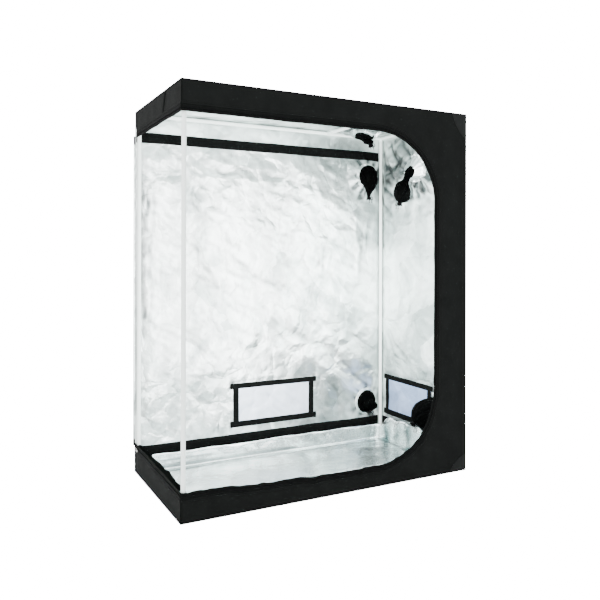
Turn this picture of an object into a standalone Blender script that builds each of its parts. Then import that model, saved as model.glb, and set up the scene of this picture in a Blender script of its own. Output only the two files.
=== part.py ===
"""Indoor grow tent with a steel tube frame and a wrap-around zipped door.

The origin is on the floor at the middle of the tent. +X runs to the right along the front,
+Y runs to the rear and +Z is up. Sizes are in metres and angles in degrees.
The open left side and the open front are one opening. Its door is folded back in three leaves
behind the rear wall.
"""
import math

import bmesh
import bpy
from mathutils import Matrix, Vector

# Cover
cover_width = 1.200
cover_depth = 0.600
cover_height = 1.450
half_width = cover_width / 2
half_depth = cover_depth / 2
fabric = 0.0015
trim = 0.0010
gap = 0.0003

# Frame tubes and corner elbows
tube_radius = 0.008
tube_wall = 0.001
frame_inset = 0.0125
hub_radius = 0.0085
elbow_reach = 0.020
spigot_length = 0.030
tube_sides = 16
hub_sides = 12
hub_rings = 8
spigot_root_share = 0.5

# Hanging bars, each with a strap hook over the front and the rear rail
strap_thickness = 0.002
strap_width = 0.010
strap_weld = 0.028
strap_sink = 0.0007
bar_end_clearance = 0.002
hook_wrap_degrees = 75
bar_left_x = 0.100 - half_width
bar_right_x = half_width - 0.310
hook_steps = 8

# Opening in the left side and the front, and the zip around it
opening_top = cover_height - 0.104
opening_front_low = 0.079
opening_corner_low = 0.100
opening_rear_low = 0.112
opening_right = half_width - 0.159
opening_radius = 0.270
opening_rear_cut_depth = 0.026
opening_rear_cut_height = 0.044
zip_offset = 0.008
zip_width = 0.012
door_lap = 0.006
leaf_end = 0.0015
arc_steps = 14

# Reinforcement inside the walls
band_height = 0.042
upper_band_z = cover_height - 0.101
lower_band_z = 0.078
band_end_inset = 0.008
band_corner_gap = 0.0018

# Corner patches on the front
top_patch_width = 0.075
top_patch_height = 0.108
bottom_patch_width = 0.086
bottom_patch_height = 0.068
patch_bow = 0.010
patch_steps = 8

# Windows, each a net in the wall behind an inner flap with a tape border
window_width = 0.346
window_height = 0.141
window_tape = 0.025
window_tape_overrun = 0.014
rear_window_x = 0.022
rear_window_z = 0.2235
right_window_width = cover_depth - 0.310
right_window_y = 0.080
right_window_z = 0.2110
net_thickness = 0.0008
net_bar = 0.0015
net_columns = 10
net_rows = 4
flap_top_margin = 0.003

# Duct ports and their drawstring sleeves
port_radius = 0.052
port_sides = 20
hem_width = 0.010
sleeve_rings = 7
neck_radius = 0.0070
ruffle_radius = 0.0085
ruffle_length = 0.011
pleat_depth = 0.0022
pleat_count = 5
rear_port_x = half_width - 0.095
rear_upper_port_z = cover_height - 0.200
rear_lower_port_z = 0.175
right_upper_port_y = -0.010
right_upper_port_z = cover_height - 0.188
right_lower_port_y = 0.110 - half_depth
right_lower_port_z = 0.212
roof_port_x = half_width - 0.200
roof_port_y = half_depth - 0.150

# Each sleeve's reach, drop, side shift, fullness, taper, waist share and bag, and its neck's droop
rear_upper_sleeve = (0.036, 0.100, 0.004, 0.120, 0.050, 0, 0)
rear_upper_droop_degrees = 85
rear_lower_sleeve = (0.018, 0.048, -0.018, 0.050, 0.030, 0, 0.003)
rear_lower_droop_degrees = 80
right_upper_sleeve = (0.110, 0.158, 0.006, 0.130, 0.060, 0.62, 0.027)
right_upper_droop_degrees = 80
right_lower_sleeve = (0.150, 0.036, 0.034, 0.190, 0.060, 0, 0.016)
right_lower_droop_degrees = 40
roof_sleeve = (0.084, 0.004, 0.032, 0.090, 0.040, 0.60, 0.004)
roof_droop_degrees = 20
waist_span_share = 0.6
bag_start_share = 0.35

# Drawcords
cord_radius = 0.0014
cord_seat_share = 0.3
knot_radius = 0.0038
knot_sink_share = 0.5
bow_radius = 0.0075
bow_spread = 0.0085
bow_drop = 0.0050
cord_end_length = 0.022
cord_end_spread = 0.0080
cord_sides = 5
ring_steps = 15
bow_steps = 10

# Floor tray
tray_half_width = half_width - 0.045
tray_half_depth = half_depth - 0.042
tray_height = 0.066
tray_corner_radius = 0.030
tray_flare = 0.004
tray_corner_steps = 6

# Tie strap on the upper left band
tie_width = 0.018
tie_top_y = -0.116
tie_bottom_y = -0.088
tie_length = 0.076
tie_top_margin = 0.002

# Zip slider and its pull
slider_y = half_depth - 0.038
slider_length = 0.016
slider_height = 0.010
slider_thickness = 0.0035
slider_bevel = 0.0012
arch_radius = 0.0032
arch_wire = 0.0008
pull_length = 0.026
pull_width = 0.0075
pull_thickness = 0.0010
pull_eye = 0.0050
pull_eye_width = 0.0042
pull_end_bar = 0.0012
pull_lift = 0.0013
slider_bevel_steps = 2
arch_steps = 12
pull_steps = 10

# Round faces
round_edge_degrees = 35
pleat_edge_degrees = 60
weld = 0.000001
round_profile_share = 0.5

# Places worked out from the sizes above
post_x = half_width - frame_inset
post_y = half_depth - frame_inset
frame_low_z = fabric + gap + hub_radius
frame_high_z = cover_height - fabric - gap - strap_thickness - gap - tube_radius
wall_low_z = fabric + gap
wall_high_z = cover_height - fabric - gap
side_end_y = half_depth - fabric - gap
leaf_pitch = fabric + gap
hinge_x = -half_width - gap - fabric / 2
hinge_y = half_depth + gap + fabric / 2
side_leaf_length = cover_depth + 2 * gap + fabric - leaf_pitch / 2
closed_fold_x = hinge_x + leaf_pitch / 2
middle_leaf_length = (opening_right + door_lap - closed_fold_x) / 2
end_leaf_length = opening_right + door_lap - closed_fold_x - middle_leaf_length
fold_x = closed_fold_x + middle_leaf_length

FACE_FRONT = (math.radians(90), 0, 0)
FACE_SIDE = (math.radians(90), 0, math.radians(90))


def material(name, colour, roughness, metallic=0.0):
    """A plain Principled material."""
    made = bpy.data.materials.new(name)
    made.use_nodes = True
    shader = made.node_tree.nodes["Principled BSDF"]
    shader.inputs["Base Color"].default_value = (*colour, 1.0)
    shader.inputs["Roughness"].default_value = roughness
    shader.inputs["Metallic"].default_value = metallic
    made.diffuse_color = (*colour, 1.0)
    return made


def finish(obj, name, surface, group):
    """Name an object, give it its material and put it in a collection."""
    obj.name = name
    obj.data.name = name
    obj.data.materials.clear()
    obj.data.materials.append(surface)
    for holder in list(obj.users_collection):
        holder.objects.unlink(obj)
    group.objects.link(obj)
    return obj


def mesh_object(mesh_name, bm):
    """Turn a bmesh into a linked object."""
    mesh = bpy.data.meshes.new(mesh_name)
    bm.to_mesh(mesh)
    bm.free()
    obj = bpy.data.objects.new(mesh_name, mesh)
    bpy.context.scene.collection.objects.link(obj)
    return obj


def smooth(mesh, edge_degrees=round_edge_degrees):
    """Shade a round piece smooth, with its edges kept sharp."""
    mesh.shade_smooth()
    mesh.set_sharp_from_angle(angle=math.radians(edge_degrees))


def baked(obj):
    """Replace an object by a plain mesh of what it evaluates to."""
    bpy.context.view_layer.update()
    graph = bpy.context.evaluated_depsgraph_get()
    mesh = bpy.data.meshes.new_from_object(obj.evaluated_get(graph))
    bm = bmesh.new()
    bm.from_mesh(mesh)
    bmesh.ops.remove_doubles(bm, verts=bm.verts, dist=weld)
    bmesh.ops.recalc_face_normals(bm, faces=bm.faces)
    bm.to_mesh(mesh)
    bm.free()
    made = bpy.data.objects.new(obj.name, mesh)
    bpy.context.scene.collection.objects.link(made)
    made.matrix_world = obj.matrix_world.copy()
    bpy.data.objects.remove(obj)
    return made


def combine(base, others, operation):
    """Join or cut solids, and give the plain result."""
    for other in others:
        step = base.modifiers.new(operation.lower(), "BOOLEAN")
        step.operation = operation
        step.object = other
        base = baked(base)
        bpy.data.objects.remove(other)
    return base


def arc(centre, radius, first_degrees, last_degrees, steps):
    """Points on an arc, both ends included."""
    points = []
    for step in range(steps + 1):
        angle = math.radians(first_degrees + (last_degrees - first_degrees) * step / steps)
        points.append((centre[0] + radius * math.cos(angle), centre[1] + radius * math.sin(angle)))
    return points


def circle(centre, radius, sides):
    """A closed round outline."""
    return arc(centre, radius, 0, 360, sides)[:-1]


def rectangle(low_x, low_y, high_x, high_y):
    """A closed rectangular outline."""
    return [(low_x, low_y), (high_x, low_y), (high_x, high_y), (low_x, high_y)]


def plate(outlines, thickness):
    """A flat sheet from a filled 2D curve, with any further outlines as holes."""
    curve = bpy.data.curves.new("plate", "CURVE")
    curve.dimensions = "2D"
    curve.fill_mode = "BOTH"
    curve.extrude = thickness / 2
    for outline in outlines:
        spline = curve.splines.new("POLY")
        spline.points.add(len(outline) - 1)
        for point, (across, up) in zip(spline.points, outline):
            point.co = (across, up, 0, 1)
        spline.use_cyclic_u = True
    obj = bpy.data.objects.new("plate", curve)
    bpy.context.scene.collection.objects.link(obj)
    return obj


def sheet(name, outlines, thickness, centre, face, surface, group):
    """A named flat sheet standing in a wall, or lying flat."""
    obj = finish(plate(outlines, thickness), name, surface, group)
    obj.location = centre
    obj.rotation_euler = face
    return obj


def turned(profile, steps):
    """A solid turned about Z from a closed profile of (radius, height) points."""
    mesh = bpy.data.meshes.new("turned")
    edges = [(i, (i + 1) % len(profile)) for i in range(len(profile))]
    mesh.from_pydata([(radius, 0, height) for radius, height in profile], edges, [])
    obj = bpy.data.objects.new("turned", mesh)
    bpy.context.scene.collection.objects.link(obj)
    screw = obj.modifiers.new("turn", "SCREW")
    screw.steps = steps
    screw.render_steps = steps
    screw.use_merge_vertices = True
    screw.merge_threshold = weld
    screw.use_smooth_shade = True
    return obj


def rod(start, end, radius, sides):
    """A plain round rod between two points."""
    start = Vector(start)
    along = Vector(end) - start
    bm = bmesh.new()
    bmesh.ops.create_cone(bm, cap_ends=True, segments=sides, radius1=radius, radius2=radius,
                          depth=along.length)
    turn = along.to_track_quat("Z", "Y").to_matrix().to_4x4()
    bm.transform(Matrix.Translation(start + along / 2) @ turn)
    return mesh_object("rod", bm)


def frame_tube(name, length, centre, turn, surface, group):
    """A hollow tube of the frame, centred on its place."""
    inner = tube_radius - tube_wall
    half = length / 2
    profile = [(tube_radius, half), (tube_radius, -half), (inner, -half), (inner, half)]
    obj = finish(turned(profile, tube_sides), name, surface, group)
    obj.location = centre
    obj.rotation_euler = turn
    return obj


def elbow_mesh():
    """A three-way corner: three short arms from a round hub, each with a spigot for its tube."""
    bm = bmesh.new()
    bmesh.ops.create_uvsphere(bm, u_segments=hub_sides, v_segments=hub_rings,
                              radius=hub_radius)
    solid = mesh_object("elbow", bm)
    spigot_radius = tube_radius - tube_wall - gap
    arms = []
    for direction in (Vector((1, 0, 0)), Vector((0, 1, 0)), Vector((0, 0, 1))):
        shoulder = direction * elbow_reach
        tip = direction * (elbow_reach + spigot_length)
        arm = rod((0, 0, 0), shoulder, tube_radius, tube_sides)
        spigot = rod(shoulder * spigot_root_share, tip, spigot_radius, tube_sides)
        arms.append(combine(arm, [spigot], "UNION"))
    solid = combine(solid, arms, "UNION")
    mesh = solid.data
    bpy.data.objects.remove(solid)
    return mesh


def add_elbows(surface, group):
    """Eight corner elbows that share one mesh, turned into their corners."""
    mesh = elbow_mesh()
    mesh.materials.append(surface)
    smooth(mesh)
    corners = (("front_left", -1, -1, 0), ("front_right", 1, -1, 90),
               ("rear_right", 1, 1, 180), ("rear_left", -1, 1, 270))
    for corner, side_x, side_y, turn in corners:
        lower = bpy.data.objects.new(corner + "_bottom_elbow", mesh)
        lower.location = (side_x * post_x, side_y * post_y, frame_low_z)
        lower.rotation_euler = (0, 0, math.radians(turn))
        upper = bpy.data.objects.new(corner + "_top_elbow", mesh)
        upper.location = (side_x * post_x, side_y * post_y, frame_high_z)
        upper.rotation_euler = (math.radians(180), 0, math.radians(turn + 90))
        for obj in (lower, upper):
            group.objects.link(obj)


def add_frame(surface, group):
    """Four posts, four bottom rails and four top rails."""
    seat = elbow_reach + gap
    post_length = frame_high_z - frame_low_z - 2 * seat
    post_z = (frame_high_z + frame_low_z) / 2
    for name, side_x, side_y in (("front_left", -1, -1), ("front_right", 1, -1),
                                 ("rear_right", 1, 1), ("rear_left", -1, 1)):
        frame_tube(name + "_post", post_length, (side_x * post_x, side_y * post_y, post_z),
                   (0, 0, 0), surface, group)
    for level, z in (("bottom", frame_low_z), ("top", frame_high_z)):
        for name, side in (("front", -1), ("rear", 1)):
            frame_tube(name + "_" + level + "_rail", 2 * (post_x - seat),
                       (0, side * post_y, z), (0, math.radians(90), 0), surface, group)
        for name, side in (("left", -1), ("right", 1)):
            frame_tube(name + "_" + level + "_rail", 2 * (post_y - seat),
                       (side * post_x, 0, z), (math.radians(90), 0, 0), surface, group)


def strap_hook(side):
    """A flat strap welded on the bar's end and bent over the rail at one side."""
    inner = tube_radius + gap
    outer = inner + strap_thickness
    first = 90
    last = 90 - hook_wrap_degrees
    weld_low = tube_radius - strap_sink
    weld_start = -(inner + bar_end_clearance + strap_weld)
    weld_step = -(inner + bar_end_clearance)
    outline = [(weld_start, weld_low), (weld_step, weld_low), (weld_step, inner)]
    outline += arc((0, 0), inner, first, last, hook_steps)
    outline += arc((0, 0), outer, last, first, hook_steps)
    outline += [(weld_start, outer)]
    hook = plate([outline], strap_width)
    turn = Matrix.Rotation(math.radians(90), 4, "Z") @ Matrix.Rotation(math.radians(90), 4, "X")
    if side < 0:
        turn = Matrix.Rotation(math.radians(180), 4, "Z") @ turn
    hook.matrix_world = Matrix.Translation((0, side * post_y, 0)) @ turn
    return baked(hook)


def add_bar(name, x, surface, group):
    """A hanging bar across the top, open at both ends, with its two hooks."""
    length = 2 * (post_y - tube_radius - gap - bar_end_clearance)
    bar = frame_tube(name, length, (0, 0, 0), (math.radians(90), 0, 0), surface, group)
    bar = combine(baked(bar), [strap_hook(-1), strap_hook(1)], "UNION")
    finish(bar, name, surface, group)
    smooth(bar.data)
    bar.matrix_world = Matrix.Translation((x, 0, frame_high_z)) @ bar.matrix_world


def opening_edge(offset):
    """The front opening's edge from its lower left to its upper left, moved out by offset."""
    bend_x = opening_right - opening_radius
    radius = opening_radius + offset
    points = [(-half_width, opening_corner_low - offset), (fold_x, opening_front_low - offset)]
    points += arc((bend_x, opening_front_low + opening_radius), radius, -90, 0, arc_steps)
    points += arc((bend_x, opening_top - opening_radius), radius, 0, 90, arc_steps)
    points += [(-half_width, opening_top + offset)]
    return points


def side_low_z(y):
    """Height of the left opening's lower edge, which climbs to the rear."""
    share = (y + half_depth) / cover_depth
    return opening_corner_low + (opening_rear_low - opening_corner_low) * share


def add_panels(black, group):
    """The cover: floor, roof, rear wall, right wall, front panel and the two left bands."""
    footprint = rectangle(-half_width, -half_depth, half_width, half_depth)
    roof_hole = circle((roof_port_x, roof_port_y), port_radius, port_sides)
    sheet("floor_panel", [footprint], fabric, (0, 0, fabric / 2), (0, 0, 0), black, group)
    sheet("roof_panel", [footprint, roof_hole], fabric, (0, 0, cover_height - fabric / 2),
          (0, 0, 0), black, group)
    rear = [rectangle(-half_width, wall_low_z, half_width, wall_high_z),
            window_outline(rear_window_x, rear_window_z, window_width, window_height),
            circle((rear_port_x, rear_upper_port_z), port_radius, port_sides),
            circle((rear_port_x, rear_lower_port_z), port_radius, port_sides)]
    sheet("rear_wall", rear, fabric, (0, half_depth - fabric / 2, 0), FACE_FRONT, black, group)
    right = [rectangle(-side_end_y, wall_low_z, side_end_y, wall_high_z),
             window_outline(right_window_y, right_window_z, right_window_width, window_height),
             circle((right_upper_port_y, right_upper_port_z), port_radius, port_sides),
             circle((right_lower_port_y, right_lower_port_z), port_radius, port_sides)]
    sheet("right_wall", right, fabric, (half_width - fabric / 2, 0, 0), FACE_SIDE, black, group)
    front = opening_edge(0)[::-1]
    front += [(-half_width, wall_low_z), (half_width, wall_low_z)]
    front += [(half_width, wall_high_z), (-half_width, wall_high_z)]
    sheet("front_panel", [front], fabric, (0, fabric / 2 - half_depth, 0), FACE_FRONT, black, group)
    left_x = fabric / 2 - half_width
    upper = [(-side_end_y, opening_top), (side_end_y - opening_rear_cut_depth, opening_top),
             (side_end_y, opening_top + opening_rear_cut_height), (side_end_y, wall_high_z),
             (-side_end_y, wall_high_z)]
    sheet("left_top_band", [upper], fabric, (left_x, 0, 0), FACE_SIDE, black, group)
    lower = [(-side_end_y, wall_low_z), (side_end_y, wall_low_z),
             (side_end_y, side_low_z(side_end_y)), (-side_end_y, side_low_z(-side_end_y))]
    sheet("left_bottom_band", [lower], fabric, (left_x, 0, 0), FACE_SIDE, black, group)


def window_outline(across, up, width, height):
    """A window's rectangle about its middle."""
    return rectangle(across - width / 2, up - height / 2, across + width / 2, up + height / 2)


def add_bands(black, group):
    """Reinforcement bands inside the rear wall and the right wall."""
    inner_y = half_depth - fabric - gap - trim / 2
    inner_x = half_width - fabric - gap - trim / 2
    end_x = post_x - band_end_inset
    end_y = post_y - band_end_inset
    corner_x = half_width - band_corner_gap
    for name, z in (("rear_upper_band", upper_band_z), ("rear_lower_band", lower_band_z)):
        outline = rectangle(-corner_x, z - band_height / 2, end_x, z + band_height / 2)
        sheet(name, [outline], trim, (0, inner_y, 0), FACE_FRONT, black, group)
    outline = rectangle(-end_y, lower_band_z - band_height / 2, end_y,
                        lower_band_z + band_height / 2)
    sheet("right_lower_band", [outline], trim, (inner_x, 0, 0), FACE_SIDE, black, group)


def bowed_patch(width, height, up):
    """A corner patch: two straight legs on the corner and a gently bowed third side."""
    start = Vector((half_width - width, 0))
    end = Vector((half_width, height))
    along = end - start
    across = Vector((-along.y, along.x)).normalized()
    outline = [(half_width, 0)]
    for step in range(patch_steps + 1):
        share = step / patch_steps
        point = end - along * share + across * patch_bow * 4 * share * (1 - share)
        outline.append((point.x, point.y))
    if up:
        outline = [(x, cover_height - z) for x, z in outline]
    return outline


def add_patches(grey, group):
    """Quarter patches on the front's right corners."""
    y = -half_depth - gap - trim / 2
    sheet("front_top_patch", [bowed_patch(top_patch_width, top_patch_height, True)], trim,
          (0, y, 0), FACE_FRONT, grey, group)
    sheet("front_bottom_patch", [bowed_patch(bottom_patch_width, bottom_patch_height, False)], trim,
          (0, y, 0), FACE_FRONT, grey, group)


def add_zip_tape(black, group):
    """One zip tape around the whole opening, bent round the front left corner."""
    near = zip_offset
    far = zip_offset + zip_width
    outer_x = -half_width - gap - trim
    front = opening_edge(near) + opening_edge(far)[::-1]
    front = [(outer_x if x == -half_width else x, z) for x, z in front]
    tape = plate([front], trim)
    tape.location = (0, -half_depth - gap - trim / 2, 0)
    tape.rotation_euler = FACE_FRONT
    tape = baked(tape)
    strips = []
    corner_y = -half_depth - gap - trim
    for low_front, low_rear, rear_y in (
            (opening_corner_low - far, side_low_z(side_end_y) - far, side_end_y),
            (opening_top + near, opening_top + near, side_end_y - opening_rear_cut_depth)):
        outline = [(corner_y, low_front), (rear_y, low_rear),
                   (rear_y, low_rear + zip_width), (corner_y, low_front + zip_width)]
        strip = plate([outline], trim)
        strip.location = (-half_width - gap - trim / 2, 0, 0)
        strip.rotation_euler = FACE_SIDE
        strips.append(baked(strip))
    finish(combine(tape, strips, "UNION"), "zip_tape", black, group)


def add_tie(black, group):
    """A short strap sewn down the outside of the upper left band."""
    top_z = cover_height - tie_top_margin
    bottom_z = top_z - tie_length
    half = tie_width / 2
    outline = [(tie_bottom_y - half, bottom_z), (tie_bottom_y + half, bottom_z),
               (tie_top_y + half, top_z), (tie_top_y - half, top_z)]
    sheet("tie_strap", [outline], trim, (-half_width - gap - trim / 2, 0, 0), FACE_SIDE,
          black, group)


def add_window(name, across, up, width, face, wall_offset, axis, surfaces, group):
    """A net in the wall, and an inner flap with its tape border, hinged at its top edge."""
    black, silver, net_surface = surfaces
    half_w = width / 2
    half_h = window_height / 2
    step_w = (width - 2 * gap) / net_columns
    step_h = (window_height - 2 * gap) / net_rows
    holes = [rectangle(-half_w + gap, -half_h + gap, half_w - gap, half_h - gap)]
    for column in range(net_columns):
        for row in range(net_rows):
            low_x = -half_w + gap + column * step_w + net_bar / 2
            low_z = -half_h + gap + row * step_h + net_bar / 2
            holes.append(rectangle(low_x, low_z, low_x + step_w - net_bar,
                                   low_z + step_h - net_bar))
    flap_half_w = half_w + window_tape
    flap_half_h = half_h + window_tape
    inward = Vector((0, -1, 0)) if axis == "y" else Vector((-1, 0, 0))
    middle = Vector((across, 0, up)) if axis == "y" else Vector((0, across, up))
    wall_centre = -inward * (wall_offset - fabric / 2)
    sheet(name + "_net", holes, net_thickness, middle + wall_centre, face, net_surface, group)
    hinge = bpy.data.objects.new(name + "_hinge", None)
    group.objects.link(hinge)
    flap_centre = -inward * (wall_offset - fabric - gap - fabric / 2)
    hinge.location = middle + flap_centre + Vector((0, 0, flap_half_h))
    flap = sheet(name + "_flap", [rectangle(-flap_half_w, -2 * flap_half_h, flap_half_w,
                                            -flap_top_margin)],
                 fabric, (0, 0, 0), face, silver, group)
    flap.parent = hinge
    over = window_tape_overrun
    tape = window_tape
    border = [(-flap_half_w - over, -flap_top_margin), (-flap_half_w - over, -tape),
              (-flap_half_w, -tape), (-flap_half_w, tape - 2 * flap_half_h),
              (-flap_half_w - over, tape - 2 * flap_half_h), (-flap_half_w - over, -2 * flap_half_h)]
    border += [(-across_x, up_z) for across_x, up_z in border[::-1]]
    inside = rectangle(-half_w, tape - 2 * flap_half_h, half_w, -tape)
    tapes = sheet(name + "_tape", [border, inside], trim, (0, 0, 0), face, black, group)
    tapes.parent = hinge
    tapes.location = inward * (fabric / 2 + gap + trim / 2)


def sleeve_frame(port, inward, up, reach, drop, side, droop_degrees):
    """Neck place and directions of a sleeve that leaves its port inwards and droops."""
    across = inward.cross(up)
    droop = math.radians(droop_degrees)
    along = inward * math.cos(droop) - up * math.sin(droop)
    crown = inward * math.sin(droop) + up * math.cos(droop)
    neck = port + inward * reach - up * drop + across * side
    return across, along, crown, neck


def add_sleeve(name, port, inward, up, shape, droop_degrees, surface, group):
    """A sewn duct sleeve: a hem on the wall, a bag that narrows to its tied neck, a small ruffle.

    Each lengthwise thread is a Hermite curve. It leaves the port's rim square to the wall and
    meets the neck's rim along the neck. Pleats swell between the two, a waist draws the threads
    in near the port, and a bag lets them out again before the neck.
    """
    reach, drop, side, fullness, taper, waist_share, bag = shape
    across, along, crown, neck = sleeve_frame(port, inward, up, reach, drop, side, droop_degrees)
    lift = inward * (gap + trim)
    droop = math.radians(droop_degrees)
    bm = bmesh.new()
    rings = []

    def ring(place):
        rings.append([bm.verts.new(place(2 * math.pi * i / port_sides)) for i in range(port_sides)])

    def rim(radius):
        return lambda angle: port + lift + radius * (math.cos(angle) * across
                                                     + math.sin(angle) * up)

    def thread(share):
        def place(angle):
            square, cube = share ** 2, share ** 3
            leaving, arriving = 2 * cube - 3 * square + 1, 3 * square - 2 * cube
            spread = port_radius * leaving * (math.cos(angle) * across + math.sin(angle) * up)
            spread += neck_radius * arriving * (math.cos(angle) * across
                                                + math.sin(angle) * crown)
            drawn = math.sin(math.pi * min(1, share / waist_span_share)) ** 2
            point = (port + lift) * leaving + neck * arriving + spread * (1 - waist_share * drawn)
            point += inward * fullness * (cube - 2 * square + share)
            point += along * taper * (cube - square)
            turned_up = up * math.cos(droop * share) + inward * math.sin(droop * share)
            radial = across * math.cos(angle) + turned_up * math.sin(angle)
            swell = pleat_depth * math.sin(math.pi * share) * math.cos(pleat_count * angle)
            filled = max(0, share - bag_start_share) / (1 - bag_start_share)
            swell += bag * math.sin(math.pi * filled) ** 2
            return point + radial * swell
        return place

    def tail(distance, radius):
        return lambda angle: neck + along * distance + radius * (math.cos(angle) * across
                                                                 + math.sin(angle) * crown)

    ring(rim(port_radius + hem_width))
    ring(rim(port_radius))
    for step in range(1, sleeve_rings + 1):
        ring(thread(step / sleeve_rings))
    ring(tail(ruffle_length / 2, neck_radius))
    ring(tail(ruffle_length, ruffle_radius))
    for first, second in zip(rings, rings[1:]):
        for i in range(port_sides):
            j = (i + 1) % port_sides
            bm.faces.new((first[i], second[i], second[j], first[j]))
    obj = finish(mesh_object(name, bm), name, surface, group)
    shell = obj.modifiers.new("shell", "SOLIDIFY")
    shell.thickness = trim
    shell.offset = -1
    smooth(obj.data, pleat_edge_degrees)


def add_drawcord(name, port, inward, up, shape, droop_degrees, knot_side, surface, group):
    """A cord drawn round a sleeve's neck and tied in a bow."""
    reach, drop, side = shape[:3]
    across, along, crown, neck = sleeve_frame(port, inward, up, reach, drop, side, droop_degrees)
    loop_radius = neck_radius + gap + cord_radius
    centre = neck + along * ruffle_length * cord_seat_share
    bm = bmesh.new()
    ring = cord_ring(centre, along, loop_radius, ring_steps)
    facing = crown * knot_side
    knot = centre + facing * (loop_radius + cord_radius + knot_radius * knot_sink_share)
    bmesh.ops.create_icosphere(bm, subdivisions=2, radius=knot_radius)
    bm.transform(Matrix.Translation(knot))
    pieces = [mesh_object("knot", bm)]
    down = Vector((0, 0, -1))
    for turn in (-1, 1):
        middle = knot + across * turn * bow_spread + down * bow_drop
        pieces.append(cord_ring(middle, facing, bow_radius, bow_steps))
        tip = knot + across * turn * cord_end_spread + down * cord_end_length
        tip += facing * knot_radius * 2
        pieces.append(rod(knot, tip, cord_radius, cord_sides))
    finish(combine(ring, pieces, "UNION"), name, surface, group)


def cord_ring(centre, axis, radius, steps):
    """A round loop of cord about an axis."""
    bm = bmesh.new()
    rings = []
    turn = axis.to_track_quat("Z", "Y").to_matrix().to_4x4()
    for i in range(steps):
        angle = 2 * math.pi * i / steps
        out = Vector((math.cos(angle), math.sin(angle), 0))
        around = []
        for k in range(cord_sides):
            phase = 2 * math.pi * k / cord_sides
            around.append(bm.verts.new(out * (radius + cord_radius * math.cos(phase))
                                       + Vector((0, 0, cord_radius * math.sin(phase)))))
        rings.append(around)
    for ring, following in zip(rings, rings[1:] + rings[:1]):
        for k in range(cord_sides):
            j = (k + 1) % cord_sides
            bm.faces.new((ring[k], following[k], following[j], ring[j]))
    bmesh.ops.recalc_face_normals(bm, faces=bm.faces)
    bm.transform(Matrix.Translation(centre) @ turn)
    return mesh_object("cord_ring", bm)


def add_sleeves(black, group):
    """The five duct sleeves and their drawcords."""
    rear_y = half_depth - fabric
    right_x = half_width - fabric
    rear = Vector((0, -1, 0))
    right = Vector((-1, 0, 0))
    roof = Vector((0, 0, -1))
    up = Vector((0, 0, 1))
    back = Vector((0, 1, 0))
    places = (
        ("rear_upper", (rear_port_x, rear_y, rear_upper_port_z), rear, up,
         rear_upper_sleeve, rear_upper_droop_degrees, 1),
        ("rear_lower", (rear_port_x, rear_y, rear_lower_port_z), rear, up,
         rear_lower_sleeve, rear_lower_droop_degrees, 1),
        ("right_upper", (right_x, right_upper_port_y, right_upper_port_z), right, up,
         right_upper_sleeve, right_upper_droop_degrees, 1),
        ("right_lower", (right_x, right_lower_port_y, right_lower_port_z), right, up,
         right_lower_sleeve, right_lower_droop_degrees, -1),
        ("roof", (roof_port_x, roof_port_y, cover_height - fabric), roof, back,
         roof_sleeve, roof_droop_degrees, -1),
    )
    for name, place, inward, port_up, shape, droop, knot_side in places:
        port = Vector(place)
        add_sleeve(name + "_sleeve", port, inward, port_up, shape, droop, black, group)
        add_drawcord(name + "_drawcord", port, inward, port_up, shape, droop, knot_side, black,
                     group)


def leaf_hinge(name, x, y, group):
    """An empty on a vertical fold line."""
    hinge = bpy.data.objects.new(name, None)
    hinge.location = (x, y, 0)
    group.objects.link(hinge)
    return hinge


def add_door(black, group):
    """The door's three leaves, folded back behind the rear wall with the free end on the outside.

    A leaf's outline is given by the distance from its fold line and the height, as it covers the
    opening. The side leaf lies against the wall, the middle leaf runs back over it and the end
    leaf over that.
    """
    low_rear = opening_rear_low - door_lap
    low_corner = opening_corner_low - door_lap
    low_front = opening_front_low - door_lap
    top = opening_top + door_lap
    side_end = side_leaf_length - leaf_end
    side = [(leaf_end, low_rear), (side_end, low_corner), (side_end, top), (leaf_end, top)]
    middle_end = middle_leaf_length - leaf_end
    middle = [(leaf_end, low_corner), (middle_end, low_front), (middle_end, top), (leaf_end, top)]
    radius = opening_radius + door_lap
    bend = end_leaf_length - radius
    end = [(leaf_end, low_front)]
    end += arc((bend, low_front + radius), radius, -90, 0, arc_steps)
    end += arc((bend, top - radius), radius, 0, 90, arc_steps)
    end += [(leaf_end, top)]
    swing = leaf_hinge("door_swing_axis", hinge_x, hinge_y, group)
    corner = leaf_hinge("corner_fold_axis", side_leaf_length, leaf_pitch / 2, group)
    corner.parent = swing
    fold = leaf_hinge("mid_fold_axis", -middle_leaf_length, leaf_pitch, group)
    fold.parent = corner
    leaves = (("door_side_leaf", side, 1, 0, swing),
              ("door_middle_leaf", middle, -1, leaf_pitch / 2, corner),
              ("door_end_leaf", end, 1, leaf_pitch / 2, fold))
    for name, outline, direction, offset, holder in leaves:
        outline = [(direction * distance, z) for distance, z in outline]
        leaf = sheet(name, [outline], fabric, (0, offset, 0), FACE_FRONT, black, group)
        leaf.parent = holder


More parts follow.
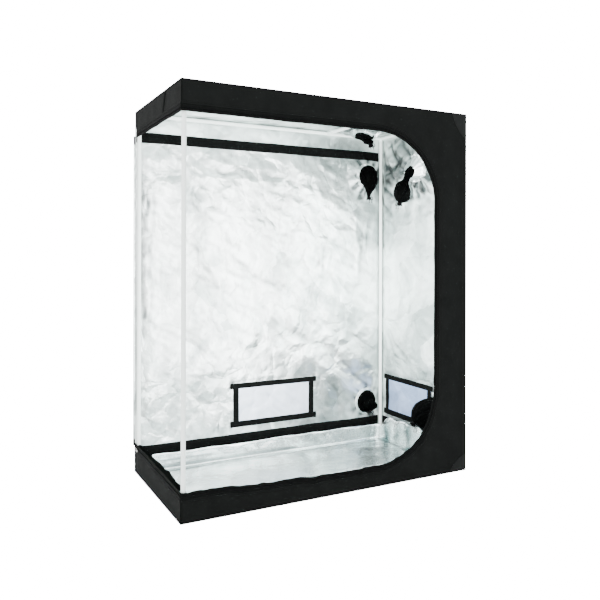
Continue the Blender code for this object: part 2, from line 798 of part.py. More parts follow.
def add_tray(silver, group):
    """The loose floor tray: a soft box with round corners and slightly flared walls."""
    bm = bmesh.new()
    bmesh.ops.create_cube(bm, size=1.0)
    bm.transform(Matrix.Diagonal((2 * tray_half_width, 2 * tray_half_depth, tray_height, 1)))
    for vert in bm.verts:
        if vert.co.z > 0:
            vert.co.x += math.copysign(tray_flare, vert.co.x)
            vert.co.y += math.copysign(tray_flare, vert.co.y)
    upright = [edge for edge in bm.edges
               if abs(edge.verts[0].co.z - edge.verts[1].co.z) > tray_height / 2]
    bmesh.ops.bevel(bm, geom=upright, offset=tray_corner_radius, segments=tray_corner_steps,
                    affect="EDGES", profile=round_profile_share)
    lid = [face for face in bm.faces if face.calc_center_median().z > tray_height / 4]
    lid = [face for face in lid if len(face.verts) > 4]
    bmesh.ops.delete(bm, geom=lid, context="FACES")
    tray = finish(mesh_object("floor_tray", bm), "floor_tray", silver, group)
    tray.location = (0, 0, fabric + gap + tray_height / 2)
    shell = tray.modifiers.new("shell", "SOLIDIFY")
    shell.thickness = fabric
    shell.offset = -1
    shell.use_even_offset = True


def add_slider(metal, group):
    """A zip slider on the lower left tape, and its pull held under the slider's arch."""
    body_low = -gap - trim - gap
    top = body_low - slider_thickness
    slope = math.atan2(opening_corner_low - opening_rear_low, cover_depth)
    centre_z = side_low_z(slider_y) - zip_offset - zip_width / 2
    bm = bmesh.new()
    bmesh.ops.create_cube(bm, size=1.0)
    bm.transform(Matrix.Diagonal((slider_thickness, slider_length, slider_height, 1)))
    bmesh.ops.bevel(bm, geom=list(bm.edges), offset=slider_bevel, segments=slider_bevel_steps,
                    affect="EDGES", profile=round_profile_share)
    bm.transform(Matrix.Translation(((body_low + top) / 2, 0, 0)))
    body = mesh_object("body", bm)
    curve = bpy.data.curves.new("arch", "CURVE")
    curve.dimensions = "3D"
    curve.bevel_depth = arch_wire
    curve.bevel_resolution = 2
    curve.use_fill_caps = True
    sunk = slider_thickness / 2
    bow = arc((0, 0), arch_radius, 180, 0, arch_steps)
    path = [(-arch_radius, -sunk)] + bow + [(arch_radius, -sunk)]
    spline = curve.splines.new("POLY")
    spline.points.add(len(path) - 1)
    for point, (along, out) in zip(spline.points, path):
        point.co = (top - out, along, 0, 1)
    arch = bpy.data.objects.new("arch", curve)
    bpy.context.scene.collection.objects.link(arch)
    body = combine(body, [baked(arch)], "UNION")
    place = Matrix.Translation((-half_width, slider_y, centre_z))
    place = place @ Matrix.Rotation(-slope, 4, "X")
    body.matrix_world = place
    finish(body, "zip_slider", metal, group)
    smooth(body.data)
    half = pull_width / 2
    eye_half = pull_eye_width / 2
    tip = pull_length - half
    outline = [(-half, -pull_end_bar / 2), (half, -pull_end_bar / 2), (half, tip)]
    outline += arc((0, tip), half, 0, 180, pull_steps)[1:-1] + [(-half, tip)]
    eye = rectangle(-eye_half, pull_end_bar / 2, eye_half, pull_end_bar / 2 + pull_eye)
    pull = plate([outline, eye], pull_thickness)
    turn = Matrix.Rotation(math.radians(180), 4, "X") @ Matrix.Rotation(math.radians(90), 4, "Y")
    pull.matrix_world = place @ Matrix.Translation((top - pull_lift, 0, 0)) @ turn
    finish(pull, "zip_pull", metal, group)


def main():
    """Build the tent."""
    for obj in list(bpy.data.objects):
        bpy.data.objects.remove(obj)
    group = bpy.data.collections.new("grow_tent")
    bpy.context.scene.collection.children.link(group)
    enamel = material("white_enamel", (0.84, 0.87, 0.86), 0.35)
    black = material("black_oxford_cloth", (0.016, 0.019, 0.018), 0.85)
    patch = material("grey_patch_cloth", (0.032, 0.036, 0.034), 0.85)
    tape = material("black_tape", (0.012, 0.013, 0.013), 0.7)
    silver = material("silver_film", (0.80, 0.84, 0.85), 0.28, 0.35)
    net = material("window_net", (0.70, 0.75, 0.80), 0.8)
    metal = material("zip_metal", (0.10, 0.10, 0.10), 0.35, 0.9)
    add_frame(enamel, group)
    add_elbows(enamel, group)
    add_bar("left_hanging_bar", bar_left_x, enamel, group)
    add_bar("right_hanging_bar", bar_right_x, enamel, group)
    add_panels(black, group)
    add_bands(tape, group)
    add_patches(patch, group)
    add_zip_tape(tape, group)
    add_tie(tape, group)
    surfaces = (tape, silver, net)
    add_window("rear_window", rear_window_x, rear_window_z, window_width, FACE_FRONT,
               half_depth, "y", surfaces, group)
    add_window("right_window", right_window_y, right_window_z, right_window_width, FACE_SIDE,
               half_width, "x", surfaces, group)
    add_sleeves(black, group)
    add_door(black, group)
    add_tray(silver, group)
    add_slider(metal, group)


main()
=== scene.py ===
"""Looks of the indoor grow tent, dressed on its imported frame.

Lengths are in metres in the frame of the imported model: the origin is on the floor at the middle
of the tent, +X runs along the front, +Y to the rear and +Z up. Cloth pieces are closed thin
sheets made from flat cuts. Each cut is placed on its wall, and a depth function says how far the
wall's cloth stands in from its plane there, so that everything sewn on a wall follows it.
"""
import math

import bpy
import numpy as np
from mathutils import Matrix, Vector


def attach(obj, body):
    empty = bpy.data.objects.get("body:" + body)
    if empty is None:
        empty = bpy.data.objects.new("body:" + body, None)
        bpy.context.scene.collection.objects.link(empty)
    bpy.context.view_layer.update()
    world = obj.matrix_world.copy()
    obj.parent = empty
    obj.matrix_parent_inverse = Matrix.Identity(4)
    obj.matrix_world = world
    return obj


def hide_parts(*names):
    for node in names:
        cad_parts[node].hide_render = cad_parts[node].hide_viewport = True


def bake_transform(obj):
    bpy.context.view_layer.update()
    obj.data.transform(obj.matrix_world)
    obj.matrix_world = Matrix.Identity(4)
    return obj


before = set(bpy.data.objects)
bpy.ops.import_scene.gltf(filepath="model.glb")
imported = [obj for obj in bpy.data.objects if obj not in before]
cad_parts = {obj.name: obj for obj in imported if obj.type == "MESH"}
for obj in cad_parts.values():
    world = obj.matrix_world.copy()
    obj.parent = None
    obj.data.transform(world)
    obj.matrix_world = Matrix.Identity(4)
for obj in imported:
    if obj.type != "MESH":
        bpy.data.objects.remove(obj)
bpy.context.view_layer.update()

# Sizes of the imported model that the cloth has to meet
half_width, half_depth, height = 0.600, 0.300, 1.450
skin, gap, trim = 0.0015, 0.0003, 0.0010
post_y = 0.2875
wall_low, wall_high = skin + gap, height - skin - gap
side_end = half_depth - skin - gap
opening_top, opening_right, opening_radius = 1.346, 0.441, 0.270
opening_corner_low, opening_front_low, opening_rear_low = 0.100, 0.079, 0.112
rear_cut_depth, rear_cut_height = 0.026, 0.044
fold_x = -0.076575
zip_near, zip_far = 0.008, 0.020
port_radius, port_block = 0.052, 0.072
ports = {
    "rear_upper": ("rear", 0.505, 1.250),
    "rear_lower": ("rear", 0.505, 0.175),
    "right_upper": ("right", -0.010, 1.262),
    "right_lower": ("right", -0.190, 0.212),
    "roof": ("roof", 0.400, 0.150),
}
windows = {"rear": (0.022, 0.2235, 0.346, 0.141), "right": (0.080, 0.2110, 0.290, 0.141)}
window_tape, tape_overrun, flap_top_margin = 0.025, 0.014, 0.003
roof_port_crumple = (0.43, 0.13)
X, Y, Z = np.eye(3)


def link_up(name, data):
    """A new object in the scene."""
    made = bpy.data.objects.new(name, data)
    bpy.context.scene.collection.objects.link(made)
    return made


def add_camera():
    """A level camera at the photograph's place, shifted down a little."""
    data = bpy.data.cameras.new("camera")
    data.lens, data.sensor_width = 39.91, 36
    data.shift_x, data.shift_y = 0.0013, -0.0768
    data.clip_start, data.clip_end = 0.05, 60
    camera = link_up("camera", data)
    camera.location = (-1.2650, -2.3857, 0.8792)
    camera.rotation_mode = "XYZ"
    camera.rotation_euler = [math.radians(turn) for turn in (90, -0.13, -27.75)]
    bpy.context.scene.camera = camera


add_camera()


# Noise
def ease(value):
    """Smooth step from 0 to 1."""
    share = np.clip(value, 0, 1)
    return share * share * (3 - 2 * share)


def around(count):
    """Even angles round a circle."""
    return 2 * math.pi * np.arange(count) / count


def on_lattice(u, v, seed):
    """Shares within a lattice cell, and random heights from -1 to 1 at its four corners."""
    table = np.random.RandomState(seed).rand(64, 64) * 2 - 1
    i, j = np.floor(u).astype(int), np.floor(v).astype(int)
    s, t = u - i, v - j
    i, j = i % 64, j % 64
    i1, j1 = (i + 1) % 64, (j + 1) % 64
    return s, t, table[i, j], table[i1, j], table[i, j1], table[i1, j1]


def noise(a, b, cell, seed):
    """Soft noise from -1 to 1: lattice heights, eased between their knots."""
    s, t, h00, h10, h01, h11 = on_lattice(np.asarray(a) / cell, np.asarray(b) / cell, seed)
    s, t = ease(s), ease(t)
    low = h00 * (1 - s) + h10 * s
    high = h01 * (1 - s) + h11 * s
    return low * (1 - t) + high * t


def line_noise(run, cell, seed):
    """Soft noise along a line."""
    return noise(run, run * 0, cell, seed)


def facets(a, b, cell, seed):
    """Crumpled foil from -1 to 1: flat triangles between random heights, on a warped lattice."""
    a = np.asarray(a) + 0.35 * cell * noise(a, b, cell * 1.7, seed + 1)
    b = np.asarray(b) + 0.35 * cell * noise(a, b, cell * 1.7, seed + 2)
    s, t, h00, h10, h01, h11 = on_lattice((a + 0.57735 * b) / cell, 1.1547 * b / cell, seed)
    low = h00 + s * (h10 - h00) + t * (h01 - h00)
    high = h11 + (1 - s) * (h01 - h11) + (1 - t) * (h10 - h11)
    return np.where(s + t < 1, low, high)


def crumple(a, b, seed):
    """Facets at three falling scales."""
    return (0.62 * facets(a, b, 0.170, seed) + 0.26 * facets(a, b, 0.070, seed + 10)
            + 0.12 * facets(a, b, 0.030, seed + 20))


def port_pull(a, b, port, depth, spread, folds, phase):
    """Cloth drawn in round a port: deepest at the rim, dying away outward, with radial folds."""
    _, centre_a, centre_b = ports[port]
    da, db = a - centre_a, b - centre_b
    away = np.clip(np.hypot(da, db) - port_radius, 0, None)
    angle = np.arctan2(db, da)
    ripple = np.cos(folds * angle + phase + 1.4 * np.sin(2 * angle + phase))
    ripple = 0.55 * ripple + 0.45 * np.cos((folds + 4) * angle - 2 * phase)
    shape = np.exp(-away / spread)
    return depth * shape + 0.55 * depth * ripple * shape * ease(away / 0.012 + 0.25)


# Long creases of the walls: start, end, half width and rise
rear_creases = (
    (0.433, 1.115, 0.463, 0.731, 0.016, 0.0070), (0.513, 1.098, 0.486, 0.856, 0.012, 0.0060),
    (0.263, 0.949, 0.253, 0.762, 0.009, 0.0035), (-0.366, 1.203, 0.094, 1.197, 0.016, 0.0050),
    (-0.335, 1.277, 0.043, 1.249, 0.012, 0.0040), (-0.069, 0.976, 0.199, 0.976, 0.008, 0.0025),
    (-0.379, 1.138, -0.266, 0.985, 0.012, 0.0045), (-0.356, 0.957, -0.210, 0.682, 0.014, 0.0050),
    (-0.406, 0.368, -0.181, 0.376, 0.010, 0.0040), (-0.013, 0.574, 0.046, 0.648, 0.008, 0.0030),
    (-0.558, 1.253, -0.519, 0.856, 0.010, 0.0050), (-0.570, 1.310, -0.566, 0.620, 0.006, 0.0110),
    (-0.546, 1.100, -0.556, 0.500, 0.006, 0.0070))
right_creases = (
    (0.240, 0.518, 0.166, 0.384, 0.008, 0.0040), (0.199, 0.475, 0.014, 0.378, 0.009, 0.0045),
    (0.165, 1.292, -0.002, 1.260, 0.014, 0.0100), (0.094, 1.247, -0.059, 1.134, 0.012, 0.0090),
    (0.230, 1.430, 0.057, 1.289, 0.014, 0.0100), (0.246, 1.384, 0.148, 1.206, 0.012, 0.0080))


def long_creases(a, b, creases):
    """Sharp ridges along slightly wavering runs, each dying away at its ends and sides."""
    total = 0
    for a0, b0, a1, b1, wide, rise in creases:
        length = math.hypot(a1 - a0, b1 - b0)
        ahead_a, ahead_b = (a1 - a0) / length, (b1 - b0) / length
        along = ((a - a0) * ahead_a + (b - b0) * ahead_b) / length
        off = (b - b0) * ahead_a - (a - a0) * ahead_b + 0.010 * noise(a + b, a - b, 0.09, 60)
        total = total + (rise * np.exp(-np.abs(off) / wide) * ease(along / 0.25)
                         * ease((1 - along) / 0.25))
    return total


def below_flap(window, depth, a, b):
    """The wall's depth held down near a window flap's hinge, so that the raised flap clears it:
    half of the harmonic mean of the depth and a limit that grows away from the hinge."""
    middle_a, middle_b, width, tall = windows[window]
    off = np.abs(b - middle_b - tall / 2 - window_tape)
    aside = np.clip(np.abs(a - middle_a) - width / 2 - window_tape - 0.010, 0, None)
    limit = 0.0003 + 0.19 * np.clip(off - 0.005, 0, None) + aside + np.clip(off - 0.20, 0, None)
    depth = np.maximum(depth, 0)
    return depth * limit / (depth + limit)


def edge_free(place, reach, over):
    """1 in the middle, easing to 0 over a stretch before a reach to either side."""
    return ease((reach - np.abs(place)) / over)


def wall_free(a, b, reach, over_a, low, over_b):
    """1 in the middle of a wall, easing to 0 at its sides, foot and head."""
    return (edge_free(a, reach, over_a) * ease((b - low) / over_b)
            * ease((height - low - b) / over_b))


def rear_depth(a, b):
    """Rear wall: crumpled foil with long creases, flat at its edges, drawn in at its two ports."""
    rough = 0.0070 * (crumple(a, b, 3) + 0.9)
    pull = (port_pull(a, b, "rear_upper", 0.0190, 0.034, 7, 0.6)
            + port_pull(a, b, "rear_lower", 0.0070, 0.036, 5, 2.0))
    rough = below_flap("rear", rough + long_creases(a, b, rear_creases), a, b)
    return wall_free(a, b, half_width, 0.07, 0.022, 0.07) * (rough + pull)


def right_depth(a, b):
    """Right wall: smooth at its middle, with crumples and long folds in its upper part."""
    high = ease((b - 1.06) / 0.12)
    rough = 0.0042 * (crumple(a, b, 47) + 0.7) * (0.5 + 0.8 * ease((0.5 - b) / 0.2))
    rough = rough + 0.0085 * high * (facets(a, b, 0.060, 50) + 0.5)
    slant = (post_y - a) * 0.80 + (b - 1.40) * 0.60
    along = (post_y - a) * 0.60 - (b - 1.40) * 0.80
    folds = (0.0090 * np.abs(np.sin(slant * 40 + 0.8 * np.sin(along * 14)))
             * ease(along / 0.05) * ease((0.36 - along) / 0.16))
    pull = (port_pull(a, b, "right_upper", 0.0260, 0.050, 9, 1.1)
            + port_pull(a, b, "right_lower", 0.0120, 0.036, 6, 0.4))
    rough = below_flap("right", rough + folds + long_creases(a, b, right_creases), a, b)
    return wall_free(a, b, side_end, 0.05, 0.022, 0.06) * (rough + pull)


def roof_depth(a, b):
    """Roof: nearly flat over the hanging bars' travel, crumpled and drawn in at its port."""
    whole = crumple(a, b, 71)
    side = edge_free(a, half_width, 0.06)
    over_bars = 0.0020 * np.clip(0.5 + 0.7 * whole, 0, 1) * side * edge_free(b, 0.262, 0.06)
    near = np.exp(-np.hypot(a - roof_port_crumple[0], b - roof_port_crumple[1]) / 0.12)
    rough = 0.0050 + 0.0028 * (whole + 0.4) + 0.0210 * near * (facets(a, b, 0.042, 90) + 0.6)
    pull = port_pull(a, b, "roof", 0.0130, 0.034, 7, 1.7)
    rough = side * edge_free(b, half_depth, 0.06) * (rough + pull)
    return over_bars + (rough - over_bars) * ease((a - 0.322) / 0.030)


def front_depth(a, b):
    """Front panel: long shallow waves that die away at the seams."""
    waves = 0.0024 * noise(a, b, 0.16, 120) + 0.0010 * noise(a, b, 0.055, 121) + 0.0006
    return (edge_free(a, half_width, 0.05) * ease((b - 0.012) / 0.05)
            * ease((height - 0.004 - b) / 0.05) * waves)


def left_depth(a, b):
    """Left bands: shallow waves that die away at the seams."""
    waves = 0.0022 * noise(a, b, 0.12, 140) + 0.0008 * noise(a, b, 0.045, 141) + 0.0006
    return (edge_free(a, side_end, 0.05) * ease((b - 0.012) / 0.04)
            * ease((height - 0.004 - b) / 0.04) * waves)


walls = {}


def add_wall(name, depth, *plane):
    """A wall's plane: its origin, its two axes, its inward direction, and its depth function."""
    walls[name] = (*plane, depth)


add_wall("rear", rear_depth, Y * (half_depth - skin), X, Z, -Y)
add_wall("right", right_depth, X * (half_width - skin), Y, Z, -X)
add_wall("roof", roof_depth, Z * (height - skin), X, Y, -Z)
add_wall("front", front_depth, Y * (skin - half_depth), X, Z, Y)
add_wall("left", left_depth, X * (skin - half_width), Y, Z, X)


def on_wall(wall, a, b, rise):
    """Points of a wall: its inner plane, the cloth's depth there, and a rise above that."""
    origin, axis_a, axis_b, inward, depth = walls[wall]
    out = (depth(a, b) + rise)[..., None] * inward
    return origin + a[..., None] * axis_a + b[..., None] * axis_b + out


# Paths and flat cuts
def unit(vectors):
    """Vectors brought to length 1."""
    return vectors / (np.linalg.norm(vectors, axis=-1, keepdims=True) + 1e-12)


def run_along(path):
    """Distances along the points of a path."""
    return np.concatenate([[0], np.cumsum(np.linalg.norm(np.diff(path, axis=0), axis=1))])


def spaced(breaks, step):
    """Line places through all breaks, about a step apart."""
    places = [breaks[0]]
    for low, high in zip(breaks, breaks[1:]):
        count = max(1, round((high - low) / step))
        places += [low + (high - low) * k / count for k in range(1, count + 1)]
    return np.array(places)


def grid_quads(rows, count, rows_close=False, count_closes=False):
    """Quads between neighbours in rows of points. The rows, or each row's points, may close."""
    i, j = np.meshgrid(np.arange(rows - (not rows_close)), np.arange(count - (not count_closes)),
                       indexing="ij")
    i1, j1 = (i + 1) % rows, (j + 1) % count
    return np.stack([i * count + j, i1 * count + j, i1 * count + j1, i * count + j1],
                    -1).reshape(-1, 4)


def block(a_lines, b_lines, keep=None):
    """A grid of quads over two sets of lines. keep says which cells stay, by their middles."""
    a, b = np.meshgrid(a_lines, b_lines, indexing="ij")
    flat = np.column_stack([a.ravel(), b.ravel()])
    quads = grid_quads(*a.shape)
    if keep is None:
        return flat, quads
    middles = [(lines[:-1] + lines[1:]) / 2 for lines in (a_lines, b_lines)]
    quads = quads[keep(*np.meshgrid(*middles, indexing="ij")).ravel()]
    used, index = np.unique(quads, return_inverse=True)
    return flat[used], index.reshape(quads.shape)


def strip(rows):
    """Points and quads of rows of equal length."""
    rows = np.asarray(rows)
    return rows.reshape(-1, rows.shape[2]), grid_quads(*rows.shape[:2])


def port_ring(centre, a_lines, b_lines, rings=7):
    """The cloth between a port's round edge and its square block in the grid."""
    centre = np.array(centre)
    low, high = centre - port_block, centre + port_block
    a_in, b_in = (lines[(lines > low[k] - 1e-6) & (lines < high[k] + 1e-6)]
                  for k, lines in enumerate((a_lines, b_lines)))
    square = np.array([(a, low[1]) for a in a_in] + [(high[0], b) for b in b_in[1:]]
                      + [(a, high[1]) for a in a_in[::-1][1:]]
                      + [(low[0], b) for b in b_in[::-1][1:]])
    circle = centre + unit(square - centre) * port_radius
    return strip([circle + (square - circle) * (k / rings) for k in range(rings + 1)])


def weld(points, quads):
    """Points that meet made one. Also tells which points were kept."""
    _, first, index = np.unique(np.round(points, 6), axis=0, return_index=True,
                                return_inverse=True)
    return points[first], index.reshape(-1)[quads], first


def tidy_faces(quads):
    """Faces as lists, without repeated corners."""
    faces = [[v for k, v in enumerate(quad) if v != quad[k - 1]] for quad in quads.tolist()]
    return [face for face in faces if len(set(face)) > 2]


def rim_edges(quads):
    """Directed edges that only one face uses."""
    edges = np.stack([quads.ravel(), np.roll(quads, -1, axis=1).ravel()], -1)
    edges = edges[edges[:, 0] != edges[:, 1]]
    key = edges.min(1) * (edges.max() + 1) + edges.max(1)
    _, index, count = np.unique(key, return_index=True, return_counts=True)
    return edges[index[count == 1]]


def flat_area(flat, quads):
    """Area of a flat cut."""
    x, y = np.moveaxis(flat[quads], -1, 0)
    return float(np.abs((x * np.roll(y, -1, 1) - y * np.roll(x, -1, 1)).sum(1)).sum() / 2)


# Meshes
def outward(points, quads):
    """The quads of a closed mesh, turned round where its signed volume is below zero."""
    p = (points - points.mean(0))[quads]
    volume = sum(np.einsum("ij,ij->i", p[:, 0], np.cross(p[:, k], p[:, k + 1])).sum()
                 for k in (1, 2))
    return quads[:, ::-1] if volume < 0 else quads


def put(name, points, quads, surfaces, marks, cut):
    """An object from points and quads, with each face's finish and the cut as UV."""
    faces = tidy_faces(quads)
    mesh = bpy.data.meshes.new(name)
    mesh.from_pydata(points.tolist(), [], faces)
    for surface in surfaces:
        mesh.materials.append(surface)
    if len(faces) == len(quads):
        mesh.polygons.foreach_set("material_index", np.asarray(marks, np.int32))
    layer = mesh.uv_layers.new(name="cut")
    corners = np.zeros(len(mesh.loops), np.int32)
    mesh.loops.foreach_get("vertex_index", corners)
    layer.data.foreach_set("uv", np.asarray(cut, np.float32)[corners].ravel())
    mesh.shade_smooth()
    mesh.update()
    return link_up(name, mesh)


def joined(name, parts, surface):
    """One object from closed parts of points, quads and, where a part has one, its cut."""
    points, faces, cuts, first = [], [], [], 0
    for part, quads, *cut in parts:
        points.append(part)
        faces.append(outward(part, quads) + first)
        cuts.append(cut[0] if cut else part[:, [0, 2]] + part[:, [1, 1]])
        first += len(part)
    faces = np.vstack(faces)
    return put(name, np.vstack(points), faces, [surface], np.zeros(len(faces)), np.vstack(cuts))


def cloth_piece(name, flat, quads, inner, outer, surfaces, inner_marks=0):
    """A closed thin sheet: one cut placed twice, as inner and outer face, with a rim between."""
    count = len(flat)
    a, b = rim_edges(quads).T
    rims = np.stack([b, a, a + count, b + count], -1)
    faces = np.vstack([quads, quads[:, [0, 3, 2, 1]] + count, rims])
    marks = np.concatenate([np.zeros(len(quads)) + inner_marks, np.ones(len(quads)),
                            np.full(len(rims), 2)])
    points = np.vstack([inner, outer])
    return put(name, points, outward(points, faces), surfaces,
               np.minimum(marks, len(surfaces) - 1), np.vstack([flat, flat]))


def store_painted_shade(piece, painted_shade):
    """Keep the painted shade at each point, the same on both faces, for its finish."""
    layer = piece.data.attributes.new("crease_shade", "FLOAT", "POINT")
    layer.data.foreach_set("value", np.tile(painted_shade, 2).astype(np.float32))


def right_gathered_shade(a, b):
    """Painted shade: dark slashes on slanted facets of the right wall's top."""
    near = ease((b - 1.08) / 0.14) * ease((1.44 - b) / 0.03)
    slashes = facets(a * 0.8 + b * 0.6, (b * 0.8 - a * 0.6) * 2.6, 0.075, 410)
    return near * (0.03 + 0.60 * np.clip(slashes + 0.10, 0, 1))


def roof_gathered_shade(a, b):
    """Painted shade: dark crumples of the roof, round its port and along the rear edge."""
    near = np.exp(-np.hypot(a - roof_port_crumple[0], (b - roof_port_crumple[1]) * 0.8) / 0.16)
    slashes = facets(a, b * 1.6, 0.040, 411)
    return near * (0.04 + 0.7 * np.clip(slashes + 0.15, 0, 1))


# Painted shade of gathered cloth, by wall
gathered_shade = {"right": right_gathered_shade, "roof": roof_gathered_shade}


def paint_crease_shade(piece, wall, flat, quads, reach=0.008):
    """Paint shade into the valleys: the second difference of the cloth's depth, spread to the next
    points, plus painted shade where the cloth is gathered."""
    depth = walls[wall][4]
    a, b = flat.T
    bend = (depth(a + reach, b) + depth(a - reach, b) + depth(a, b + reach)
            + depth(a, b - reach) - 4 * depth(a, b)) / reach ** 2
    painted_shade = np.clip(bend / 25, 0, 1.3)
    spread, shared = np.zeros((2, len(painted_shade)))
    np.add.at(spread, quads, painted_shade[quads].mean(1)[:, None])
    np.add.at(shared, quads, 1)
    painted_shade = spread / np.maximum(shared, 1)
    if wall in gathered_shade:
        painted_shade = np.clip(painted_shade + gathered_shade[wall](a, b), 0, 1)
    store_painted_shade(piece, painted_shade)


def wall_piece(name, wall, flat, quads, low, high, surfaces):
    """A sheet on a wall, its faces at two rises above the wall's inner face."""
    inner, outer = (on_wall(wall, *flat.T, rise) for rise in (high, low))
    piece = cloth_piece(name, flat, quads, inner, outer, surfaces)
    paint_crease_shade(piece, wall, flat, quads)
    return piece


def fans(points, quads, count):
    """A swept shape closed at both ends by fans to the middles of its first and last ring."""
    last = len(points) - count
    for first, way in ((0, 1), (last, -1)):
        ring = first + np.arange(count)
        a, b = (ring, np.roll(ring, -1))[::way]
        quads = np.vstack([quads, np.stack([np.full(count, len(points)), a, b, b], -1)])
        points = np.vstack([points, points[ring].mean(0)])
    return points, quads


def tube_mesh(path, radius, sides, closed=False):
    """A round tube swept along points, with domed ends or as a closed loop."""
    ahead = (np.roll(path, -1, 0) - np.roll(path, 1, 0)) if closed else np.gradient(path, axis=0)
    ahead = unit(ahead)
    normal = unit(np.cross(ahead[0], (0.3, 0.2, 0.93)))
    frames = []
    for direction in ahead:
        normal = unit(normal - direction * normal.dot(direction))
        frames.append(normal)
    frames = np.array(frames)
    side = np.cross(ahead, frames)
    if closed:
        last = frames[-1] - ahead[0] * frames[-1].dot(ahead[0])
        turn = math.atan2(np.cross(frames[0], last).dot(ahead[0]), frames[0].dot(last))
        back = (-turn * np.arange(len(path)) / len(path))[:, None]
        frames = frames * np.cos(back) + side * np.sin(back)
        side = np.cross(ahead, frames)
    angles = around(sides)[None, :, None]
    ring = (frames[:, None] * np.cos(angles) + side[:, None] * np.sin(angles)) * radius
    if closed:
        return (path[:, None] + ring).reshape(-1, 3), grid_quads(len(path), sides, True, True)
    domes = [(max(share, 0.05), radius * math.sqrt(1 - share ** 2)) for share in (0, 0.5, 0.87)]
    rows = [path[0] - ahead[0] * lift + ring[0] * share for share, lift in domes]
    rows += list(path[:, None] + ring)
    rows += [path[-1] + ahead[-1] * lift + ring[-1] * share for share, lift in domes[::-1]]
    return fans(np.vstack(rows), grid_quads(len(rows), sides, count_closes=True), sides)


def links(rows, sides):
    """Closed links, each from four rings of points, the end rings filled."""
    quads = []
    for k in range(3 * sides):
        after = k + 1 if (k + 1) % sides else k + 1 - sides
        quads.append([k, after, after + sides, k + sides])
    for first, way in ((0, -1), (3 * sides, 1)):
        quads += [[first, first + k, first + k + 1, first + k + 2][::way]
                  for k in range(1, sides - 1, 2)]
    points = np.stack(rows, 1)
    every = np.array(quads)[None] + 4 * sides * np.arange(len(points))[:, None, None]
    return points.reshape(-1, 3), every.reshape(-1, 4)


def stitches(path, out, pitch=0.0042, length=0.0030, thick=0.00035):
    """Short thread spindles along a path, each sunk at its ends."""
    run = run_along(path)
    places = np.linspace(0, run[-1], max(2, int(round(run[-1] / pitch)) + 1))
    path = np.column_stack([np.interp(places, run, column) for column in path.T])
    ahead = unit(np.gradient(path, axis=0))
    side = unit(np.cross(ahead, np.broadcast_to(out, path.shape)))
    rows = []
    for place, size, lift in ((-0.5, 0.45, -0.6), (-0.28, 1.0, 0.25), (0.28, 1.0, 0.25),
                              (0.5, 0.45, -0.6)):
        middle = path + ahead * (place * length) + out * (thick * lift)
        for angle in np.radians((45, 135, 225, 315)):
            turned = side * math.cos(angle) + out * math.sin(angle)
            rows.append(middle + turned * (thick * size))
    return links(rows, 4)


# Finishes
def add(tree, kind, inputs=None, **settings):
    """A shader node with its settings, and its inputs given as values or as sockets to link."""
    made = tree.nodes.new("ShaderNode" + kind)
    for key, value in settings.items():
        setattr(made, key, value)
    for key, value in (inputs or {}).items():
        if isinstance(value, bpy.types.NodeSocket):
            tree.links.new(value, made.inputs[key])
        else:
            made.inputs[key].default_value = value
    return made


def finish_of(name, colour, rough, metal=0.0, level=0.5, coat=0.0):
    """A Principled finish with its constants set on the shader, and its object coordinates."""
    made = bpy.data.materials.new(name)
    made.use_nodes = True
    tree = made.node_tree
    shader = tree.nodes["Principled BSDF"]
    for key, value in (("Base Color", (*colour, 1)), ("Roughness", rough), ("Metallic", metal),
                       ("Specular IOR Level", level), ("Coat Weight", coat),
                       ("Coat Roughness", 0.12)):
        shader.inputs[key].default_value = value
    return made, tree, shader, add(tree, "TexCoord").outputs["Object"]


def shade(tree, factor, low, high):
    """A colour between two by a factor, each a tone or a socket."""
    low, high = (v if isinstance(v, bpy.types.NodeSocket) else (*v, 1) for v in (low, high))
    return add(tree, "Mix", {0: factor, 6: low, 7: high}, data_type="RGBA").outputs[2]


def level_of(tree, value, low, high, start=0.0, end=1.0):
    """A number between two levels, as a value goes from start to end."""
    return add(tree, "MapRange", {"Value": value, "From Min": start, "From Max": end,
                                  "To Min": low, "To Max": high}).outputs[0]


def calc(tree, operation, *values):
    """The result of a sum on values and sockets."""
    return add(tree, "Math", dict(enumerate(values)), operation=operation).outputs[0]


def cloudy(tree, place, scale, detail, rough=0.5, distorted=0.0):
    """Soft noise from 0 to 1."""
    return add(tree, "TexNoise", {"Vector": place, "Scale": scale, "Detail": detail, "Roughness":
                                  rough, "Distortion": distorted}).outputs["Fac"]


def relief(tree, shader, *layers):
    """Layers of height, strength and distance, each laid on the one before."""
    normal = {}
    for height_in, strength, distance in layers:
        made = add(tree, "Bump", {"Height": height_in, "Strength": strength,
                                  "Distance": distance, **normal})
        normal = {"Normal": made.outputs[0]}
    tree.links.new(made.outputs[0], shader.inputs["Normal"])


